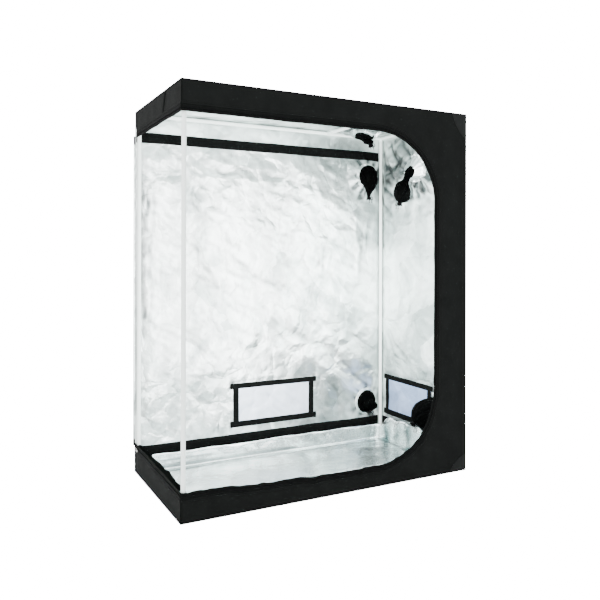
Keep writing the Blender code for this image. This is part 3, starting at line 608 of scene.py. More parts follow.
def film(name, tone, patch_shade_tone, crease_shade_tone, rough, metal, fold, crinkle):
    """Aluminium-coated cloth on a warped place: ridged folds, then flat facets between creases,
    then crinkles. Its colour holds painted shade: darker patches by facet over a random tone, dark
    lines along the creases, and the shade stored on the piece. Heights are in metres."""
    made, tree, shader, place = finish_of(name, tone, rough, metal)
    bend = add(tree, "TexNoise", {"Vector": place, "Scale": 9.0, "Detail": 4.0})
    moved = add(tree, "VectorMath", {0: bend.outputs["Color"], 1: (0.5, 0.5, 0.5)},
                operation="SUBTRACT").outputs[0]
    moved = add(tree, "VectorMath", {0: moved, 1: (0.09, 0.09, 0.09), 2: place},
                operation="MULTIPLY_ADD").outputs[0]
    broad = cloudy(tree, place, 4.2, 4.5, 0.52, 1.0)
    fine = cloudy(tree, moved, 90.0, 4.0, distorted=0.8)
    ridge = calc(tree, "ABSOLUTE", calc(tree, "SUBTRACT", cloudy(tree, moved, 3.6, 3.0), 0.5))
    cells, small = (add(tree, "TexVoronoi", {"Vector": moved, "Scale": scale},
                        feature="DISTANCE_TO_EDGE").outputs["Distance"] for scale in (9.0, 31.0))
    # Painted shade: dark lines along the cell edges, where the broad noise is high.
    crease_shade = calc(tree, "MULTIPLY", level_of(tree, cells, 1.0, 0.0, end=0.030),
                  level_of(tree, broad, 0.0, 1.0, 0.40, 0.62))
    # Painted shade of facets: patches darkened by big cells and broad noise, standing for facets
    # turned from the light, over a random tone.
    facet = add(tree, "TexVoronoi", {"Vector": moved, "Scale": 6.5}).outputs["Color"]
    facet = add(tree, "SeparateColor", {0: facet}).outputs[0]
    cloud = level_of(tree, calc(tree, "MULTIPLY_ADD", facet, 0.16, broad), 0.0, 1.0, 0.42, 0.60)
    # Painted shade stored on each piece: valleys, gathered crumples and the tray's folds.
    valley_shade = add(tree, "Attribute", attribute_name="crease_shade").outputs["Fac"]
    painted_shade = calc(tree, "MULTIPLY_ADD", crease_shade, 0.12, valley_shade)
    tree.links.new(shade(tree, painted_shade, shade(tree, cloud, patch_shade_tone, tone), crease_shade_tone),
                   shader.inputs["Base Color"])
    tree.links.new(level_of(tree, fine, rough - 0.08, rough + 0.10), shader.inputs["Roughness"])
    heights = calc(tree, "MULTIPLY", fine, crinkle * 0.30)
    for layer, size in ((ridge, fold * 4), (cells, fold), (small, crinkle)):
        heights = calc(tree, "MULTIPLY_ADD", layer, size, heights)
    relief(tree, shader, (heights, 1.0, 1.0))
    return made


def woven(name, tone, worn, rough, pitch, level, depth=0.00018, ribs=False):
    """Woven cloth on its cut's own lines: crossed threads, or ribs along a tape."""
    made, tree, shader, place = finish_of(name, tone, rough, level=level)
    cut = add(tree, "UVMap", uv_map="cut").outputs[0]
    threads = [add(tree, "TexWave", {"Vector": cut, "Scale": 2 * math.pi / (20 * pitch)},
                   bands_direction=way).outputs["Fac"] for way in "XY"]
    weave = calc(tree, "MAXIMUM" if ribs else "MULTIPLY", *threads)
    cloud = cloudy(tree, place, 14.0, 5.0, 0.6)
    tree.links.new(shade(tree, level_of(tree, cloud, -0.7, 1.7), tone, worn),
                   shader.inputs["Base Color"])
    relief(tree, shader, (weave, 0.6, depth), (cloud, 0.35, 0.004))
    return made


def lacquer(name, tone, rough, metal=0.0, coat=0.0, level=0.5):
    """Painted or bare metal with a faint orange peel."""
    made, tree, shader, place = finish_of(name, tone, rough, metal, level, coat)
    tree.links.new(level_of(tree, cloudy(tree, place, 22.0, 3.0), rough - 0.04, rough + 0.04),
                   shader.inputs["Roughness"])
    relief(tree, shader, (cloudy(tree, place, 340.0, 2.0), 0.12, 0.0002))
    return made


silver_film = film("silver_film", (0.880, 0.945, 0.930), (0.48, 0.545, 0.536),
                   (0.12, 0.14, 0.14), 0.32, 0.90, 0.0090, 0.0004)
tray_film = film("tray_film", (0.86, 0.93, 0.925), (0.72, 0.81, 0.80), (0.07, 0.12, 0.12), 0.24,
                 0.86, 0.0020, 0.0005)
flap_film = film("flap_film", (0.74, 0.81, 0.92), (0.60, 0.69, 0.82), (0.40, 0.46, 0.55), 0.42,
                 0.30, 0.0060, 0.0006)
# The right flap's film is the flap film painted darker and bluer: painted shade on the right
# window.
shaded_flap_film = film("right_flap_shaded_film", (0.36, 0.46, 0.68), (0.26, 0.35, 0.54), (0.16, 0.22, 0.36),
                 0.42, 0.30, 0.0060, 0.0006)
oxford = woven("black_oxford", (0.0036, 0.0042, 0.0039), (0.0058, 0.0067, 0.0063), 0.80, 0.0011,
               0.05)
sleeve_cloth = woven("sleeve_cloth", (0.0006, 0.0007, 0.0007), (0.0012, 0.0014, 0.0013), 0.36,
                     0.0009, 0.006)
# The hem's cloth is the black oxford painted darker, with no specular: painted shade in the
# folded-in hem.
shaded_hem_cloth = woven("shaded_hem_cloth", (0.0012, 0.0014, 0.0013), (0.0028, 0.0032, 0.0030), 0.80, 0.0011,
                  0.0)
tape_cloth = woven("tape_cloth", (0.0030, 0.0035, 0.0033), (0.0045, 0.0052, 0.0049), 0.74,
                   0.0016, 0.01, 0.00030, True)
zip_ribbon = woven("zip_ribbon", (0.0026, 0.0030, 0.0028), (0.0042, 0.0048, 0.0045), 0.78,
                   0.0016, 0.04, 0.00030, True)
patch_cloth = woven("patch_cloth", (0.0076, 0.0086, 0.0083), (0.0108, 0.0120, 0.0116), 0.80,
                    0.0013, 0.06)
net_yarn = woven("net_yarn", (0.0040, 0.0044, 0.0044), (0.0060, 0.0064, 0.0064), 0.65, 0.0006,
                 0.08)
cord_yarn = woven("cord_yarn", (0.0020, 0.0022, 0.0022), (0.0040, 0.0044, 0.0044), 0.55, 0.0008,
                  0.05)
thread = woven("thread", (0.0050, 0.0055, 0.0053), (0.0080, 0.0088, 0.0085), 0.60, 0.0004, 0.06)
zip_nylon = lacquer("zip_nylon", (0.0030, 0.0034, 0.0033), 0.50, level=0.06)
enamel = lacquer("white_enamel", (0.90, 0.97, 0.94), 0.26, coat=0.3)
nickel = lacquer("zip_nickel", (0.46, 0.46, 0.45), 0.30, metal=1.0)
cover_skins = [silver_film, oxford, oxford]

for name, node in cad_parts.items():
    if name.endswith(("_post", "_rail", "_elbow", "_bar", "_slider", "_pull")):
        node.data.materials.clear()
        node.data.materials.append(nickel if name.startswith("zip_") else enamel)


def set_out(piece, slot, *nodes, body="root"):
    """A piece rides its body, and stands for the CAD nodes that it dresses."""
    if nodes:
        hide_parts(*nodes)
        piece.name = nodes[0] + "_soft"
    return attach(piece, body)


def panel(name, wall, flat, quads, length, rests="rear_left_post"):
    """One of the cover's panels, silver inside and black outside."""
    piece = wall_piece(name, wall, flat, quads, -skin, 0.0, cover_skins)
    set_out(piece, "black_cloth", name)
    flat_area(flat, quads)


# The cover's big panels
def wall_cut(wall, a_ends, b_ends, step):
    """A wall's flat cut, with its window hole and its round port holes."""
    rings = [(a, b) for of_wall, a, b in ports.values() if of_wall == wall]
    boxes = [(a - port_block, a + port_block, b - port_block, b + port_block) for a, b in rings]
    if wall in windows:
        a, b, width, high = windows[wall]
        boxes.append((a - width / 2, a + width / 2, b - high / 2, b + high / 2))
    a_lines = spaced(sorted({*a_ends, *(v for box in boxes for v in box[:2])}), step)
    b_lines = spaced(sorted({*b_ends, *(v for box in boxes for v in box[2:])}), step)

    def keep(a, b):
        return np.all([(a < low_a) | (a > high_a) | (b < low_b) | (b > high_b)
                       for low_a, high_a, low_b, high_b in boxes], axis=0)

    blocks = [block(a_lines, b_lines, keep)] + [port_ring(ring, a_lines, b_lines)
                                                for ring in rings]
    start = np.cumsum([0] + [len(points) for points, _ in blocks])
    return weld(np.vstack([points for points, _ in blocks]),
                np.vstack([faces + first for (_, faces), first in zip(blocks, start)]))[:2]


for name, wall, a_end, b_ends, step in (
        ("rear_wall", "rear", half_width, (wall_low, wall_high), 0.0078),
        ("right_wall", "right", side_end, (wall_low, wall_high), 0.0072),
        ("roof_panel", "roof", half_width, (-half_depth, half_depth), 0.0072)):
    flat, quads = wall_cut(wall, (-a_end, a_end), b_ends, step)
    panel(name, wall, flat, quads, b_ends[1] - b_ends[0])

flat, quads = block(spaced((-half_width, half_width), 0.02),
                    spaced((-half_depth, half_depth), 0.02))
floor = np.column_stack([flat, np.zeros(len(flat))])
piece = cloth_piece("floor_panel", flat, quads, floor + (0, 0, skin), floor, cover_skins)
set_out(piece, "black_cloth", "floor_panel")


# The front panel and its opening
def arc_line(centre, radius, start, end, count):
    """Points and outward directions of an arc, without its first point."""
    turn = np.radians(np.linspace(start, end, count + 1)[1:])
    out = np.column_stack([np.cos(turn), np.sin(turn)])
    return np.array(centre) + radius * out, out


def line(start, end, step):
    """Points of a straight line, without its first point, and its outward direction."""
    start, end = np.array(start, float), np.array(end, float)
    length = np.linalg.norm(end - start)
    count = max(1, round(length / step))
    ahead = (end - start) / length
    shares = np.arange(1, count + 1)[:, None] / count
    return start + (end - start) * shares, np.tile([ahead[1], -ahead[0]], (count, 1))


def front_edge(step):
    """The opening's edge, its outward directions, and the place on the panel's rim it maps to."""
    bend_x = opening_right - opening_radius
    bend_low, bend_high = opening_front_low + opening_radius, opening_top - opening_radius
    turns = round(opening_radius * math.pi / 4 / step)
    start, sill = (-half_width, opening_corner_low), (fold_x, opening_front_low)
    parts = [(np.array([start]), np.array([[-0.04, -1.0]]), np.array([(-half_width, wall_low)]))]

    def part(made, target_start, target_end):
        """Add a stretch of the edge, with its places on the rim from a start to an end."""
        points, out = made
        shares = np.arange(1, len(points) + 1)[:, None] / len(points)
        target = np.array(target_start) + (np.array(target_end) - target_start) * shares
        parts.append((points, out, target))

    part(line(start, sill, step), (-half_width, wall_low), (fold_x, wall_low))
    part(line(sill, (bend_x, opening_front_low), step), (fold_x, wall_low), (bend_x, wall_low))
    for bend_z, first, places in (
            (bend_low, -90, ((bend_x, wall_low), (half_width, wall_low), (half_width, bend_low))),
            (bend_high, 0, ((half_width, bend_high), (half_width, wall_high),
                            (bend_x, wall_high)))):
        for half in (0, 1):
            turn = first + 45 * half
            part(arc_line((bend_x, bend_z), opening_radius, turn, turn + 45, turns),
                 places[half], places[half + 1])
        if first == -90:
            part(line((opening_right, bend_low), (opening_right, bend_high), step),
                 (half_width, bend_low), (half_width, bend_high))
    part(line((bend_x, opening_top), (-half_width, opening_top), step), (bend_x, wall_high),
         (-half_width, wall_high))
    points, out, target = (np.vstack(column) for column in zip(*parts))
    out = out / np.linalg.norm(out, axis=1)[:, None]
    run = run_along(points)
    ends = ease(run / 0.05) * ease((run[-1] - run) / 0.05)
    wave = (0.0008 + 0.0016 * ease((0.95 - run) / 0.4)) * line_noise(run, 0.085, 160)
    wave += (0.0004 + 0.0026 * ease((1.35 - run) / 0.3)) * line_noise(run, 0.021, 161)
    return points + out * (wave * ends)[:, None], out, target, run[-1]


edge_step = 0.0068
edge, edge_out, edge_target, edge_length = front_edge(edge_step)
flat, quads = strip([edge + (edge_target - edge) * (k / 18) for k in range(19)])
panel("front_panel", "front", flat, quads, edge_length + 0.25,
      "front_left_post")


# The left bands
left_y = np.linspace(-side_end, side_end, 84)


def left_low_z(y):
    """Height of the left opening's lower edge."""
    return opening_corner_low + (opening_rear_low - opening_corner_low) * (y + half_depth) / 0.6


def band_rough(size, cell, seed):
    """The uneven run of a band's open edge, still at both ends."""
    return size * line_noise(left_y, cell, seed) * edge_free(left_y, side_end, 0.03)


rough_low, rough_top = band_rough(0.0016, 0.07, 171), band_rough(0.0010, 0.06, 172)
cut_y = side_end - rear_cut_depth
rear_cut = rear_cut_height * np.clip((left_y - cut_y) / rear_cut_depth, 0, 1)
for name, rail, start, band_edge, tall in (
        ("left_bottom_band", "left_bottom_rail", wall_low, left_low_z(left_y) + rough_low,
         opening_rear_low - wall_low),
        ("left_top_band", "left_top_rail", wall_high, opening_top + rear_cut + rough_top,
         wall_high - opening_top)):
    flat, quads = strip([np.column_stack([left_y, start + (band_edge - start) * (k / 12)])
                         for k in range(13)])
    panel(name, "left", flat, quads, tall, rail)


def sill_hem():
    """The left band's inner hem, folded in over the bottom rail: it droops as it reaches in."""
    y = np.linspace(-0.270, 0.272, 80)
    top = left_low_z(y) + np.interp(y, left_y, rough_low)
    lean = 0.030 + 0.0075 * line_noise(y, 0.06, 181) + 0.0030 * line_noise(y, 0.018, 182)
    rows = []
    for share in np.linspace(0, 1, 9):
        fall = 0.010 * share ** 2 + 0.0040 * share * line_noise(y, 0.07, 183)
        x = -half_width + skin + gap + left_depth(y, top) * (1 - share) + lean * share
        z = top - 0.0012 - fall + 0.0030 * math.sin(math.pi * share)
        rows.append(np.column_stack([x, y, z]))
    points, quads = strip(rows)
    cut, _ = strip([np.column_stack([y, y * 0 + k * 0.004]) for k in range(9)])
    # The hem takes the darker cloth: painted shade.
    set_out(cloth_piece("left_sill_hem", cut, quads, points, points - (0, 0, 0.0012),
                        [shaded_hem_cloth]), "black_cloth")


sill_hem()


# Tapes, coil and seams along the opening
def left_edges(step):
    """The open left side's lower and upper edges, front to rear, with outward directions."""
    for far, edge_z, rough, out_z in ((side_end, left_low_z, rough_low, -1.0),
                                      (cut_y, lambda y: y * 0 + opening_top, rough_top, 1.0)):
        y = np.linspace(-side_end - gap, far, int((side_end + far) / step))
        path = np.column_stack([y, edge_z(y) + np.interp(y, left_y, rough)])
        yield "left", path, np.tile([0.0, out_z], (len(y), 1))


seam_runs = (("front", edge, edge_out), *left_edges(edge_step))


def edging(wall, path, out, profile):
    """A closed profile of (offset, rise) carried along an edge of a wall, capped at both ends."""
    profile = np.asarray(profile, float)
    flat = path[:, None] + out[:, None] * profile[None, :, 0, None]
    points = on_wall(wall, flat[..., 0], flat[..., 1], profile[:, 1])
    rows, count = points.shape[:2]
    cut = np.stack(np.broadcast_arrays(run_along(path)[:, None], profile[:, 0]), -1)
    both = np.concatenate([points, cut], -1).reshape(-1, 5)
    both, quads = fans(both, grid_quads(rows, count, count_closes=True), count)
    return both[:, :3], quads, both[:, 3:]


def mirrored(profile):
    """The same profile with its rise counted outwards from the wall's outer face."""
    return [(offset, -skin - gap - rise) for offset, rise in profile]


zip_tape = mirrored([(zip_near, 0), (zip_far, 0), (zip_far, 0.7 * trim),
                     (zip_far - 0.3 * trim, trim), (zip_near + 0.3 * trim, trim),
                     (zip_near, 0.7 * trim)])
binding = [(-0.0022, -0.0006), (-0.0016, 0.0010), (0.0, 0.0013), (0.0060, 0.0011),
           (0.0066, 0.0003), (0.0058, 0.0001), (0.0004, 0.0001), (0.0002, -0.0016),
           (0.0058, -0.0016), (0.0066, -0.0019), (0.0060, -0.0026), (0.0, -0.0028),
           (-0.0016, -0.0025)]
rain_flap = mirrored([(zip_far + 0.0006, 0), (zip_far + 0.0090, 0), (zip_far + 0.0088, 0.0006),
                      (zip_far + 0.0060, 0.0011), (zip_far + 0.0030, 0.0014),
                      (zip_far + 0.0012, 0.0010)])
for name, profile, finish, slot, nodes in (
        ("zip_tape", zip_tape, zip_ribbon, "black_tape", ("zip_tape",)),
        ("opening_binding", binding, zip_ribbon, "black_tape", ()),
        ("zip_rain_flap", rain_flap, oxford, "black_cloth", ())):
    set_out(joined(name, [edging(*run, profile) for run in seam_runs], finish), slot, *nodes)


def coil(wall, path, outward_way, offset, rise, pitch=0.0030, size_share=1.0):
    """Zip coil teeth: short round links laid across a tape, one every pitch."""
    run = run_along(path)
    places = np.arange(pitch, run[-1], pitch)
    middle, out = (np.column_stack([np.interp(places, run, column) for column in table.T])
                   for table in (path, outward_way))
    ahead = np.column_stack([-out[:, 1], out[:, 0]])
    rows = []
    for across, size in ((-0.0026, 0.45), (-0.0020, 1.0), (0.0020, 1.0), (0.0026, 0.45)):
        for angle in np.radians((30, 90, 150, 210, 270, 330)):
            thick = size * size_share
            flat = (middle + out * (offset + across * size_share)
                    + ahead * (0.00095 * thick * math.cos(angle)))
            rows.append(on_wall(wall, *flat.T, rise + 0.0011 * thick * math.sin(angle)))
    return links(rows, 6)


coil_rise = -skin - gap - trim - 0.0010
set_out(joined("zip_coil", [coil(*run, zip_near + 0.0016, coil_rise) for run in seam_runs],
               zip_nylon), "black_tape")


def sewn_line(wall, path, rise):
    """Stitches along a path on a wall, at a rise."""
    inward = walls[wall][3]
    return stitches(on_wall(wall, *path.T, rise), inward * (1 if rise > -skin / 2 else -1))


def straight_seam(wall, a0, b0, a1, b1, rise):
    """Stitches along a straight run on a wall."""
    count = max(2, int(math.hypot(a1 - a0, b1 - b0) / 0.01))
    return sewn_line(wall, np.linspace((a0, b0), (a1, b1), count), rise)


set_out(joined("opening_stitches", [
    sewn_line(wall, path + out * offset, rise) for wall, path, out in seam_runs
    for offset, rise in ((0.0048, -0.0028), (zip_near + 0.0007, -skin - gap - trim),
                         (zip_far + 0.0085, -skin - gap - 0.0019), (0.0048, 0.0012))],
    thread), "black_tape")

# Bands inside the walls
band_seams = []
for name, wall, a_end, far, low in (
        ("rear_upper_band", "rear", -0.5982, 0.5795, 1.328),
        ("rear_lower_band", "rear", -0.5982, 0.5795, 0.057),
        ("right_lower_band", "right", -0.2795, 0.2795, 0.057)):
    top = low + 0.042
    flat, quads = block(spaced((a_end, far), 0.007), spaced((low, top), 0.007))
    piece = wall_piece(name, wall, flat, quads, gap, gap + trim, [tape_cloth])
    set_out(piece, "black_tape", name)
    band_seams += [straight_seam(wall, a_end + 0.004, z, far - 0.004, z, gap + trim)
                   for z in (low + 0.004, top - 0.004)]
set_out(joined("band_stitches", band_seams, thread), "black_tape")


# Windows
def net_piece(name, wall):
    """A window's net: a flat grid of flat yarns in the wall's hole."""
    a, b, width, high = windows[wall]
    yarn, pitch = 0.0008, 0.0036

    def yarn_lines(low, high):
        """Both edges of every yarn."""
        count = round((high - low) / pitch)
        places = low + (high - low) * np.arange(count + 1) / count
        both = np.sort(np.concatenate([places - yarn / 2, places + yarn / 2]))
        return np.clip(both, low, high)

    a_lines = yarn_lines(a - width / 2 + gap, a + width / 2 - gap)
    b_lines = yarn_lines(b - high / 2 + gap, b + high / 2 - gap)
    wide_a, wide_b = np.diff(a_lines) > yarn * 1.5, np.diff(b_lines) > yarn * 1.5
    flat, quads = block(a_lines, b_lines, lambda *_: ~(wide_a[:, None] & wide_b))
    set_out(wall_piece(name, wall, flat, quads, -0.0012, -0.0004, [net_yarn]), "window_net",
            name)


def window_piece(wall, lining):
    """A window's net, its flap, the flap's tape border and the border's stitches."""
    name, body, in_seam = wall + "_window", wall + "_flap", 0.003
    a, b, width, high = windows[wall]
    net_piece(name + "_net", wall)
    low_a, high_a = a - width / 2 - window_tape, a + width / 2 + window_tape
    low_b = b - high / 2 - window_tape
    high_b = b + high / 2 + window_tape - flap_top_margin
    in_a = (low_a + window_tape, high_a - window_tape)
    in_b = (low_b + window_tape, high_b - window_tape + flap_top_margin)
    over_a = (low_a - tape_overrun, high_a + tape_overrun)
    flat, quads = block(spaced((low_a, high_a), 0.006), spaced((low_b, high_b), 0.006))
    piece = wall_piece(name + "_flap", wall, flat, quads, gap, gap + skin,
                       [lining, oxford, oxford])
    set_out(piece, "silver_film", name + "_flap", body=body)

    def border(mid_a, mid_b):
        """Top and bottom strips run past the sides."""
        level = (mid_b < in_b[0]) | (mid_b > in_b[1])
        return level | ((mid_a > low_a) & (mid_a < high_a) & ((mid_a < in_a[0])
                                                              | (mid_a > in_a[1])))

    flat, quads = block(spaced((over_a[0], low_a, *in_a, high_a, over_a[1]), 0.006),
                        spaced((low_b, *in_b, high_b), 0.006), border)
    under, top = gap + skin + gap, gap + skin + gap + trim
    piece = wall_piece(name + "_tape", wall, flat, quads, under, top, [tape_cloth])
    set_out(piece, "black_tape", name + "_tape", body=body)
    seams = [straight_seam(wall, over_a[0] + in_seam, z, over_a[1] - in_seam, z, top)
             for z in (low_b + in_seam, in_b[0] - in_seam, high_b - in_seam, in_b[1] + in_seam)]
    seams += [straight_seam(wall, x, in_b[0], x, high_b - window_tape, top)
              for x in (low_a + in_seam, in_a[0] - in_seam, high_a - in_seam, in_a[1] + in_seam)]
    set_out(joined(name + "_stitches", seams, thread), "black_tape", body=body)


window_piece("rear", flap_film)
window_piece("right", shaded_flap_film)


# Corner patches on the front
def patch(name, width, high, up):
    """A patch in rows from its corner to its bowed third side, and its two seams."""
    corner, end = np.array([half_width, 0.0]), np.array([half_width, high])
    start = np.array([half_width - width, 0.0])
    ahead = (end - start) / np.linalg.norm(end - start)
    across = np.array([-ahead[1], ahead[0]])
    shares = np.linspace(0, 1, 26)[:, None]
    bow = end - (end - start) * shares + across * 0.010 * 4 * shares * (1 - shares)
    flat, quads = strip([corner + (bow - corner) * max(k / 14, 0.02) for k in range(15)])
    if up:
        flat, bow, corner = (v * (1, -1) + (0, height) for v in (flat, bow, corner))
    face = -skin - gap - trim
    piece = wall_piece(name, "front", flat, quads, -skin - gap, face, [patch_cloth])
    set_out(piece, "patch_cloth", name)
    seams = [sewn_line("front", corner + (bow - corner) * share, face) for share in (0.955, 0.90)]
    set_out(joined(name + "_stitches", seams, thread), "patch_cloth")


patch("front_top_patch", 0.075, 0.108, True)
patch("front_bottom_patch", 0.086, 0.068, False)

# Tie strap on the upper left band
flat, quads = block(np.linspace(0, 1, 6), np.linspace(0, 1, 16))
lean = -0.088 - 0.028 * flat[:, 1]
flat = np.column_stack([lean + (flat[:, 0] - 0.5) * 0.018, 1.372 + 0.076 * flat[:, 1]])
set_out(wall_piece("tie_strap", "left", flat, quads, -skin - gap, -skin - gap - trim,
                   [tape_cloth]), "black_tape", "tie_strap")


# Piping on the cover's outer edges
def piping(start, end):
    """A thin round cord of folded tape along a sewn edge."""
    count = int(math.dist(start, end) / 0.01)
    return tube_mesh(np.linspace(start, end, count), 0.0016, 8)


pipes = []
for x in (-half_width, half_width):
    for y in (-half_depth, half_depth):
        stops = [0.002, height - 0.002]
        if x < 0 and y < 0:
            stops[1:1] = [opening_corner_low, opening_top]
        pipes += [piping((x, y, low), (x, y, high)) for low, high in zip(stops[::2], stops[1::2])]
for z in (0.0012, height - 0.0012):
    pipes += [piping((-half_width, y, z), (half_width, y, z)) for y in (-half_depth, half_depth)]
    pipes += [piping((x, -half_depth, z), (x, half_depth, z)) for x in (-half_width, half_width)]
set_out(joined("edge_piping", pipes, tape_cloth), "black_tape")


# Duct sleeves
def loft_shell(name, rows, thick, surfaces, cut, lined):
    """A closed thin shell from rows of points that close round. Its first lined rows take the
    second finish."""
    rows = np.array(rows)
    count, length = rows.shape[:2]
    total = count * length
    normal = unit(np.cross(np.gradient(rows, axis=0),
                           np.roll(rows, -1, 1) - np.roll(rows, 1, 1)))
    quads = grid_quads(count, length, count_closes=True)
    faces = [quads, quads[:, [0, 3, 2, 1]] + total]
    for row, way in ((0, 1), (count - 1, -1)):
        ring = np.arange(length) + row * length
        a, b = (ring, np.roll(ring, -1))[::way]
        faces.append(np.stack([a, b, b + total, a + total], -1))
    faces = np.vstack(faces)
    points = np.vstack([rows.reshape(-1, 3), (rows + normal * thick).reshape(-1, 3)])
    cut = cut.reshape(-1, 2)
    return put(name, points, outward(points, faces), surfaces,
               faces.min(1) % total < lined * length, np.vstack([cut, cut]))


def wall_spot(wall, point, rise):
    """Points in space moved on to a wall's cloth."""
    origin, axis_a, axis_b = walls[wall][:3]
    away = point - origin
    return on_wall(wall, away @ axis_a, away @ axis_b, rise)


def sleeve_directions(name, neck_place, droop):
    """A sleeve's port centre and neck, and its directions: inward, up and across on the wall,
    along the drooping neck and square to that."""
    wall, port_a, port_b = ports[name]
    origin, axis_a, up, inward, _ = walls[wall]
    across = np.cross(inward, up)
    centre = origin + port_a * axis_a + port_b * up
    along = inward * math.cos(droop) - up * math.sin(droop)
    crown = inward * math.sin(droop) + up * math.cos(droop)
    out, drop, aside = neck_place
    neck = centre + inward * out - up * drop + across * aside
    return centre, neck, inward, up, across, along, crown


def sleeve(name, neck_place, droop, fullness, taper, waist, bag_of, collar, seed):
    """A drawstring sleeve: flat hem, a bag of soft pleats that gather into the tied neck, and a
    small frill beyond it. Each thread is a Hermite curve from the port's rim to the neck, and
    the pleats are cosines of the angle whose count and depth grow towards the neck."""
    wall = ports[name][0]
    centre, neck, inward, up, across, along, crown = sleeve_directions(name, neck_place, droop)
    bag_size, bag_start, bag_wider = bag_of
    angle = around(144)
    level, upright = across * np.cos(angle)[:, None], np.sin(angle)[:, None]
    flat, tied = level + up * upright, level + crown * upright
    rise = gap + trim
    rows, cut = [], []
    for radius, lift in ((0.0620, 0.0), (0.0617, 0.0006), (0.0600, 0.0009), (0.0570, 0.0006),
                         (0.0545, 0.0008)):
        rows.append(wall_spot(wall, centre + flat * radius, rise + lift))
        cut.append(radius)
    hem_rows, steps = len(rows), 44
    rim = wall_spot(wall, centre + flat * port_radius, rise) - flat * port_radius
    slack = neck_place[0] + neck_place[1]
    for step in range(steps + 1):
        share = step / steps
        square, cube = share ** 2, share ** 3
        leaving, arriving = 2 * cube - 3 * square + 1, 3 * square - 2 * cube
        spread = port_radius * leaving * flat + 0.0062 * arriving * tied
        drawn = float(ease(share / 0.30) * ease((0.68 - share) / 0.20))
        bag = bag_size * math.sin(math.pi * max(0, share - bag_start) / (1 - bag_start)) ** 1.3
        turned = up * math.cos(droop * share) + inward * math.sin(droop * share)
        radial = level + turned * upright
        point = (rim * leaving + neck * arriving + spread * (1 - waist * drawn)
                 + inward * fullness * (cube - 2 * square + share) + along * taper * (cube - square)
                 + radial * bag + level * bag_wider * bag)
        wide = np.linalg.norm(point - point.mean(0), axis=1).mean()
        warp = angle + 0.35 * np.sin(2 * angle + seed) + 0.22 * math.sin(5 * share + seed)
        folds = (0.55 * np.cos(7 * warp + seed) + 0.45 * np.cos(12 * warp + 2 * seed + 2 * share)
                 + 0.35 * np.cos(19 * warp - seed) * share)
        depth = min(0.0042, 0.16 * wide) * math.sin(math.pi * min(1, share * 1.06)) ** 0.75
        if share >= 0.93:
            depth = max(depth, 0.0011)
        rough = 0.0022 * math.sin(math.pi * share) * noise(angle / 2 / math.pi * 64 * 0.02,
                                                          share * 0.16, 0.02, 200 + int(seed * 7))
        point = point + radial * (depth * folds + rough)[:, None]
        point[:, 2] -= 0.0040 * math.sin(math.pi * share) ** 2 * (wall != "roof")
        rows.append(point)
        cut.append(port_radius - share * slack)
    folds = np.cos(7 * angle + seed) * 0.6 + np.cos(12 * angle + 2 * seed) * 0.5
    for far, radius, ripple in ((0.002, 0.0058, 0.0010), (0.004, 0.0058, 0.0010),
                                (0.0065, 0.0070, 0.0016), (0.009, 0.0085, 0.0022),
                                (0.0115, 0.0098, 0.0030)):
        rows.append(neck + along * (far + 0.0012 * np.cos(5 * angle + seed))[:, None]
                    + tied * (radius + ripple * folds)[:, None])
        cut.append(port_radius - slack - far)
    cut = np.stack(np.broadcast_arrays(angle * 0.05, np.array(cut)[:, None]), -1)
    piece = loft_shell(name + "_sleeve", rows, 0.0007, [sleeve_cloth, silver_film], cut,
                       hem_rows + round(collar * steps))
    set_out(piece, "sleeve_cloth", name + "_sleeve")
    width, length = 2 * math.pi * 0.057, 0.022 + 1.12 * math.hypot(*neck_place[:2])
    hem = [stitches(wall_spot(wall, centre + flat * radius, rise + 0.0009), inward)
           for radius in (0.0598, 0.0555)]
    set_out(joined(name + "_hem_stitches", hem, thread), "sleeve_cloth")


def port_piping():
    """A round cord of folded cloth along each port's sewn edge."""
    angle, radius = around(72), port_radius + 0.0006
    rings = [tube_mesh(on_wall(wall, a + radius * np.cos(angle), b + radius * np.sin(angle),
                               -skin * 0.8), 0.0015, 8, closed=True)
             for wall, a, b in ports.values()]
    set_out(joined("port_piping", rings, tape_cloth), "black_tape")


port_piping()


def curved(points, count=9):
    """A smooth path through points: a Catmull-Rom curve."""
    padded = np.vstack([2 * points[0] - points[1], points, 2 * points[-1] - points[-2]])
    made = []
    for k in range(len(points) - 1):
        p0, p1, p2, p3 = padded[k:k + 4]
        t = np.linspace(0, 1, count, endpoint=False)[:, None]
        made.append(0.5 * (2 * p1 + (p2 - p0) * t + (2 * p0 - 5 * p1 + 4 * p2 - p3) * t ** 2
                           + (3 * p1 - p0 - 3 * p2 + p3) * t ** 3))
    return np.vstack([*made, points[-1:]])


# Places of a bow's loop and tail from its knot: to the side, down and away from the neck
bow_loop = np.array([(0.0010, 0, 0), (0.0075, -0.002, 0.0012), (0.0150, 0.003, 0.001),
                     (0.0150, 0.0100, 0.0004), (0.0080, 0.0090, -0.0002), (0.0012, 0.0012, 0)])
bow_tail = np.array([(0, 0, 0.001), (0.0030, 0.006, 0.0045), (0.0065, 0.0145, 0.004),
                     (0.0075, 0.0240, 0.0042)])


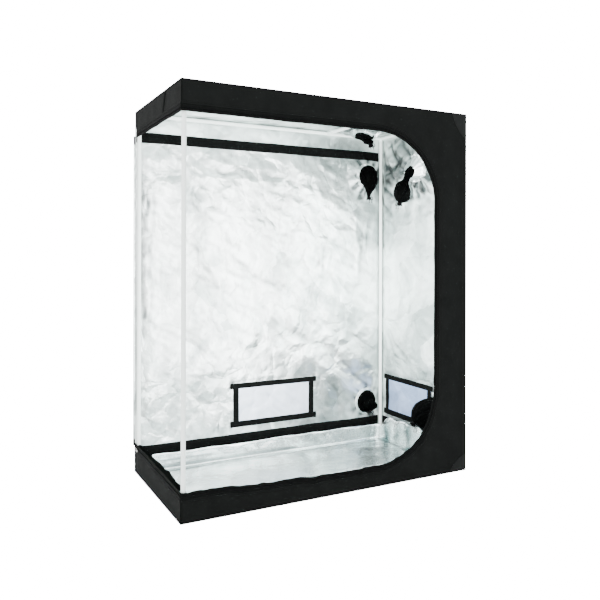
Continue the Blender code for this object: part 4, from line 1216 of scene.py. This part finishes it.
def drawcord(name, neck_place, droop, knot_side):
    """A cord wound twice round a sleeve's neck and tied in a bow with two tails."""
    _, neck, _, _, across, along, crown = sleeve_directions(name, neck_place, droop)
    middle, thick, facing = neck + along * 0.0033, 0.00125, crown * knot_side
    turn = np.linspace(0, 2 * math.pi * 2.5, 110)
    ring = (middle + (across * np.cos(turn)[:, None] + crown * np.sin(turn)[:, None]) * 0.0081
            + along * np.linspace(-0.0030, 0.0030, 110)[:, None])
    knot, t = middle + facing * 0.0115, around(72)
    trefoil = np.column_stack([np.sin(t) + 2 * np.sin(2 * t), np.cos(t) - 2 * np.cos(2 * t),
                               -1.4 * np.sin(3 * t)]) * 0.00098
    parts = [tube_mesh(ring, thick, 10),
             tube_mesh(knot + trefoil @ np.array([across, along, facing]), thick, 10, closed=True)]
    for side in (-1, 1):
        loop, tail = (knot + places @ np.array([across * side, -Z, facing])
                      for places in (bow_loop, bow_tail))
        tip = np.array([tail[-1] + Z * 0.0012, tail[-1] - Z * 0.0014])
        parts += [tube_mesh(curved(loop), thick, 10), tube_mesh(curved(tail), thick, 10),
                  tube_mesh(tip, thick * 1.3, 10)]
    set_out(joined(name + "_drawcord", parts, cord_yarn), "drawcord", name + "_drawcord")


# Each sleeve: its neck out from the port, below it and aside, its droop in degrees, how full it
# leaves the wall and how it nears the neck, its waist, its bag's size, start and extra width, the
# silver collar's share, the pleats' seed, and the side of the knot
for name, neck_place, droop, fullness, taper, waist, bag_of, collar, seed, knot_side in (
        ("rear_upper", (0.036, 0.100, 0.004), 85, 0.120, 0.050, 0, (0, 0.42, 0), 0, 0.4, 1),
        ("rear_lower", (0.018, 0.046, -0.014), 80, 0.050, 0.030, 0, (0.020, 0.42, 0.5), 0, 1.3, 1),
        ("right_upper", (0.110, 0.158, 0.006), 80, 0.130, 0.060, 0.62, (0.027, 0.42, 0), 0.2, 2.1,
         1),
        ("right_lower", (0.150, 0.036, 0.034), 40, 0.190, 0.060, 0, (0.040, 0, 0), 0, 3.7, -1),
        ("roof", (0.070, 0.004, 0.032), 20, 0.070, 0.034, 0.60, (0.004, 0.42, 0), 0.1, 5.2, -1)):
    droop = math.radians(droop)
    sleeve(name, neck_place, droop, fullness, taper, waist, bag_of, collar, seed)
    drawcord(name, neck_place, droop, knot_side)


# Floor tray
def floor_tray():
    """A soft tray: a creased floor, walls that lean out, and bunched round corners."""
    half_a, half_b, corner, tall = 0.555, 0.258, 0.030, 0.066
    low, rear = skin + gap, half_b + corner
    a_lines = spaced((-half_a + corner, half_a - corner), 0.0085)
    b_lines = spaced((-half_b + corner, half_b - corner), 0.0085)
    flat, quads = block(a_lines, b_lines)
    turns = np.radians(np.linspace(-90, 0, 12))[1:-1]
    inner, out = [], []
    for k, lines in enumerate((a_lines, b_lines, a_lines[::-1], b_lines[::-1])):
        side = np.array(((0, -1), (1, 0), (0, 1), (-1, 0))[k])
        reach = side * (half_a - corner, half_b - corner)
        inner += [np.where(side, reach, place) for place in lines]
        out += [side] * len(lines)
        inner += [inner[-1]] * len(turns)
        out += [(math.cos(turn), math.sin(turn)) for turn in turns + k * math.pi / 2]
    inner, out = np.array(inner + inner[:1], float), np.array(out + out[:1], float)
    run = run_along(inner + out * corner)
    profile = [(0, 0), (0.010, 0), (0.018, 0), (0.025, 0.0006), (0.0285, 0.0022),
               (0.0300, 0.0060)]
    profile += [(0.030 + 0.004 * (z - 0.006) / 0.060, z) for z in np.linspace(0.011, 0.0605, 10)]
    profile += [(0.0345, 0.0640), (0.0352, 0.0655), (0.0362, tall - 0.002)]
    right_end = (ease((inner[:, 0] - 0.30) / 0.22) * np.clip(out[:, 0], 0, 1) ** 2
                 * ease((0.235 - inner[:, 1] - out[:, 1] * corner) / 0.05))
    rows, painted_shade = [], [np.zeros(len(flat))]
    for reach, z in profile:
        lip = ease((z - 0.004) / 0.05)
        wave = 0.0042 * noise(run, z, 0.080, 300) + 0.0022 * noise(run, z * 2, 0.028, 301)
        lumps = facets(run, z, 0.040, 303)
        # Painted shade in the hollows of the bunched right end
        painted_shade.append(right_end * np.clip(0.25 - lumps, 0, 1))
        reach = reach + lip * (wave + 0.0150 * right_end * (lumps - 0.7) - 0.002)
        up = z + lip * (0.0030 * line_noise(run, 0.11, 302)
                        + right_end * (0.046 + 0.014 * facets(run, run * 0, 0.045, 304)))
        rows.append(np.column_stack([inner + out * reach[:, None], low + up]))
    ring_points, ring_quads = strip(rows)
    points, faces, kept = weld(np.vstack([np.column_stack([flat, np.full(len(flat), low)]),
                                          ring_points]), np.vstack([quads, ring_quads + len(flat)]))
    painted_shade = np.concatenate(painted_shade)[kept]
    a, b, z = points.T
    far_corner = ease((a - 0.18) / 0.25) * ease((b + 0.05) / 0.2)
    front_line = np.exp(-np.abs(b + 0.10 + 0.02 * line_noise(a, 0.2, 330)) / 0.012)
    raised = (0.0032 * (0.5 + 0.5 * crumple(a, b, 320))
              + 0.0075 * far_corner * (0.5 + 0.5 * facets(a, b, 0.075, 340))
              + 0.0020 * front_line * (0.6 + 0.4 * line_noise(a, 0.09, 341)))
    raised = edge_free(a, half_a, 0.06) * edge_free(b, half_b, 0.05) * raised
    points = points + Z * (raised * (z < low + 0.004))[:, None]
    # Painted shade: dark stripes for a pleat up the rear wall, a dark line on the floor before it,
    # and the floor, darker towards the right part
    pleat_shade_wide = 0.030 * np.clip((0.12 - a) / 0.5, 0, 1) ** 0.6
    from_fold = (z - low) - 0.42 * (rear - b)
    pleat_shade = ease((pleat_shade_wide - np.abs(from_fold)) / 0.006 + 0.5) * (a < 0.12) * (b > 0)
    painted_shade += pleat_shade * (0.50 + 0.22 * np.cos(from_fold * 2 * math.pi / 0.030))
    line_at = rear - 0.05 - 0.06 * (a - 0.05)
    on_floor = z < low + 0.010
    painted_shade += 0.5 * np.exp(-np.abs(b - line_at) / 0.005) * (a > 0) * on_floor
    painted_shade += (0.34 + 0.34 * ease((a - 0.10) / 0.4)) * ease((0.262 - b) / 0.03) * on_floor
    corners = points[faces]
    face_normal = np.cross(corners[:, 2] - corners[:, 0], corners[:, 3] - corners[:, 1])
    normal = np.zeros_like(points)
    for k in range(4):
        np.add.at(normal, faces[:, k], face_normal)
    normal = unit(normal) * (-1 if normal[:, 2].sum() < 0 else 1)
    piece = cloth_piece("floor_tray", points[:, :2], faces, points + normal * 0.0009, points,
                        [tray_film])
    store_painted_shade(piece, painted_shade)
    set_out(piece, "silver_film", "floor_tray")


floor_tray()

# The door, folded back behind the rear wall: its hinge and folds along x, its layers along y
hinge_x, side_y, middle_y, end_y = -0.60105, 0.30105, 0.30285, 0.30465
corner_x, mid_x = 0.00015, -0.523425
leaf_low_rear, leaf_low_corner, leaf_low_front, leaf_top = 0.106, 0.094, 0.073, 1.352
leaf_radius = 0.276
bend_reach = 0.523575 - leaf_radius


def door_wave(x, z):
    """Soft waves and creases that the three folded leaves share. They die away at the folds."""
    free = (ease((x - hinge_x) / 0.05) * ease(np.abs(x - mid_x) / 0.05)
            * ease((corner_x - x) / 0.05) * ease((leaf_top - z) / 0.04)
            * ease((z - leaf_low_front) / 0.05))
    waves = 0.26 * noise(x, z, 0.16, 400) + 0.24 * crumple(x, z, 402)
    return 0.0060 * free * np.clip(0.5 + waves, 0, 1)


def side_edges(x):
    """Low and top edges of the side leaf: its foot falls towards its fold."""
    share = np.clip((x - hinge_x) / 0.6, 0, 1)
    return leaf_low_rear + (leaf_low_corner - leaf_low_rear) * share, x * 0 + leaf_top


def middle_edges(x):
    """Low and top edges of the middle leaf: its foot falls towards its fold."""
    share = np.clip((corner_x - x) / 0.5236, 0, 1)
    return leaf_low_corner + (leaf_low_front - leaf_low_corner) * share, x * 0 + leaf_top


def end_edges(x):
    """Low and top edges of the end leaf, with a round corner at each."""
    past = np.clip(np.clip(x - mid_x, 0, 1) - bend_reach, 0, leaf_radius)
    drop = leaf_radius - np.sqrt(np.clip(leaf_radius ** 2 - past ** 2, 0, None))
    return leaf_low_front + drop, leaf_top - drop


def door_leaf(leaf, lead, turn_x, y0, bulge, free_x, y, edges, low,
              rows=150):
    """A leaf of the door in columns: a short lead, its fold's turn, which is a half ellipse in plan
    from one layer to the next, and on to its free end. The fold blends between bodies."""
    turn = np.radians(np.linspace(-90, 90, 13))
    xs = np.concatenate([[x for x, _ in lead], turn_x + bulge * np.cos(turn), free_x])
    ys = np.concatenate([[lead_y for _, lead_y in lead],
                         (y0 + y) / 2 + (y - y0) / 2 * np.sin(turn), np.full(len(free_x), y)])
    lows, tops = (v[:, None] for v in edges(xs))
    shares = np.linspace(0, 1, rows)[None]
    x, z = xs[:, None] + shares * 0, lows + (tops - lows) * shares
    columns = np.stack([x, ys[:, None] + door_wave(x, z), z], -1)
    points, quads = strip(columns)
    normal = unit(np.cross(np.gradient(columns, axis=0), Z)).reshape(-1, 3) * 0.0006
    run = np.concatenate([[0], np.cumsum(np.hypot(np.diff(xs), np.diff(ys)))])
    cut = np.stack([np.broadcast_to(run[:, None], z.shape), z], -1).reshape(-1, 2)
    height_share = np.tile(np.arange(rows - 1) / (rows - 2), len(xs) - 1)
    hem = (height_share < 0.020) | (height_share > 0.976)
    name = "door_" + leaf + "_leaf"
    piece = cloth_piece(name, cut, quads, points - normal, points + normal, cover_skins, hem)
    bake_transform(piece)
    piece.name = name + "_soft"
    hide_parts(name)


door_leaf("side", [(-0.5992, 0.2997), (-0.6002, 0.2996)], -0.6010, 0.2996, -0.0062,
          np.linspace(-0.594, -0.0016, 76), side_y, side_edges,
          leaf_low_corner)
door_leaf("middle", [(-0.0012, side_y)], corner_x, side_y, 0.0030,
          np.linspace(-0.006, -0.5219, 66), middle_y, middle_edges,
          leaf_low_front)
door_leaf("end", [(-0.5219, middle_y)], mid_x, middle_y, -0.0030,
          np.concatenate([np.linspace(-0.517, -0.060, 56), np.linspace(-0.054, -0.0006, 22)]),
          end_y, end_edges,
          leaf_low_front)


def door_trim(leaf, y, runs):
    """Zip coil along a leaf's edges, and hem stitches inside it on both faces."""
    body = "door_" + leaf
    add_wall(body, door_wave, Y * y, X, Z, Y)
    coils = [coil(body, path, out, 0.0010, 0.0, 0.0032, 0.65) for path, out in runs]
    seams = [sewn_line(body, path - out * 0.010, rise) for path, out in runs
             for rise in (0.0006, -0.0006)]
    set_out(joined(body + "_coil", coils, zip_nylon), "black_tape", body=body)
    set_out(joined(body + "_stitches", seams, thread), "black_cloth", body=body)


for leaf, y, near, count, edges in (("side", side_y, -0.597, 90, side_edges),
                                    ("middle", middle_y, -0.520, 80, middle_edges)):
    x = np.linspace(near, -0.003, count)
    door_trim(leaf, y, [(np.column_stack([x, z]), np.tile([0.0, way], (count, 1)))
                        for z, way in zip(edges(x), (-1.0, 1.0))])
bend_x, far_x, leaf_step = mid_x + bend_reach, mid_x + bend_reach + leaf_radius, 0.008
bend_low, bend_high = leaf_low_front + leaf_radius, leaf_top - leaf_radius
parts = [line((-0.520, leaf_low_front), (bend_x, leaf_low_front), leaf_step),
         arc_line((bend_x, bend_low), leaf_radius, -90, 0, 54),
         line((far_x, bend_low), (far_x, bend_high), leaf_step),
         arc_line((bend_x, bend_high), leaf_radius, 0, 90, 54),
         line((bend_x, leaf_top), (-0.520, leaf_top), leaf_step)]
door_trim("end", end_y, [tuple(np.vstack(column) for column in zip(*parts))])


# Floor, background and light
def studio():
    """A flat pale floor, a bright even sky, and soft lights before and inside the tent."""
    data = bpy.data.meshes.new("studio_floor")
    data.from_pydata([(x, y, -0.0022) for x, y in ((-30, -30), (30, -30), (30, 30), (-30, 30))],
                     [], [(0, 1, 2, 3)])
    paint, tree, shader, _ = finish_of("studio_paint", (0.93, 0.93, 0.93), 0.9, level=0.1)
    seen = add(tree, "LightPath").outputs["Is Camera Ray"]
    shader.inputs["Emission Color"].default_value = (1, 1, 1, 1)
    tree.links.new(level_of(tree, seen, 0.0, 17.0), shader.inputs["Emission Strength"])
    data.materials.append(paint)
    link_up("studio_floor", data)
    world = bpy.data.worlds.new("studio_sky")
    bpy.context.scene.world = world
    world.use_nodes = True
    sky = world.node_tree.nodes["Background"]
    seen = add(world.node_tree, "LightPath").outputs["Is Camera Ray"]
    world.node_tree.links.new(level_of(world.node_tree, seen, 2.4, 18.0), sky.inputs["Strength"])
    sky.inputs["Color"].default_value = (1, 1, 1, 1)
    for name, place, size, power, aim in (
            ("left_strip", (-0.42, -0.286, 0.71), (0.20, 1.16), 7, (-0.42, 0.3, 0.71)),
            ("middle_strip", (0.02, -0.286, 0.71), (0.34, 1.16), 11, (0.02, 0.3, 0.71)),
            ("right_strip", (0.46, -0.286, 0.80), (0.20, 0.90), 7, (0.46, 0.3, 0.80)),
            ("left_softbox", (-0.586, 0.0, 0.80), (0.34, 0.90), 4.5, (0.6, 0.0, 0.80)),
            ("high_light", (-3.2, -2.6, 3.4), (2.2, 2.2), 115, (0, 0, 0.7))):
        light = bpy.data.lights.new(name, "AREA")
        light.shape = "RECTANGLE"
        light.size, light.size_y = size
        light.energy = power
        lamp = link_up(name, light)
        lamp.location = place
        lamp.rotation_mode = "QUATERNION"
        lamp.rotation_quaternion = (Vector(aim) - Vector(place)).to_track_quat("-Z", "Y")
        lamp.visible_camera = False


studio()
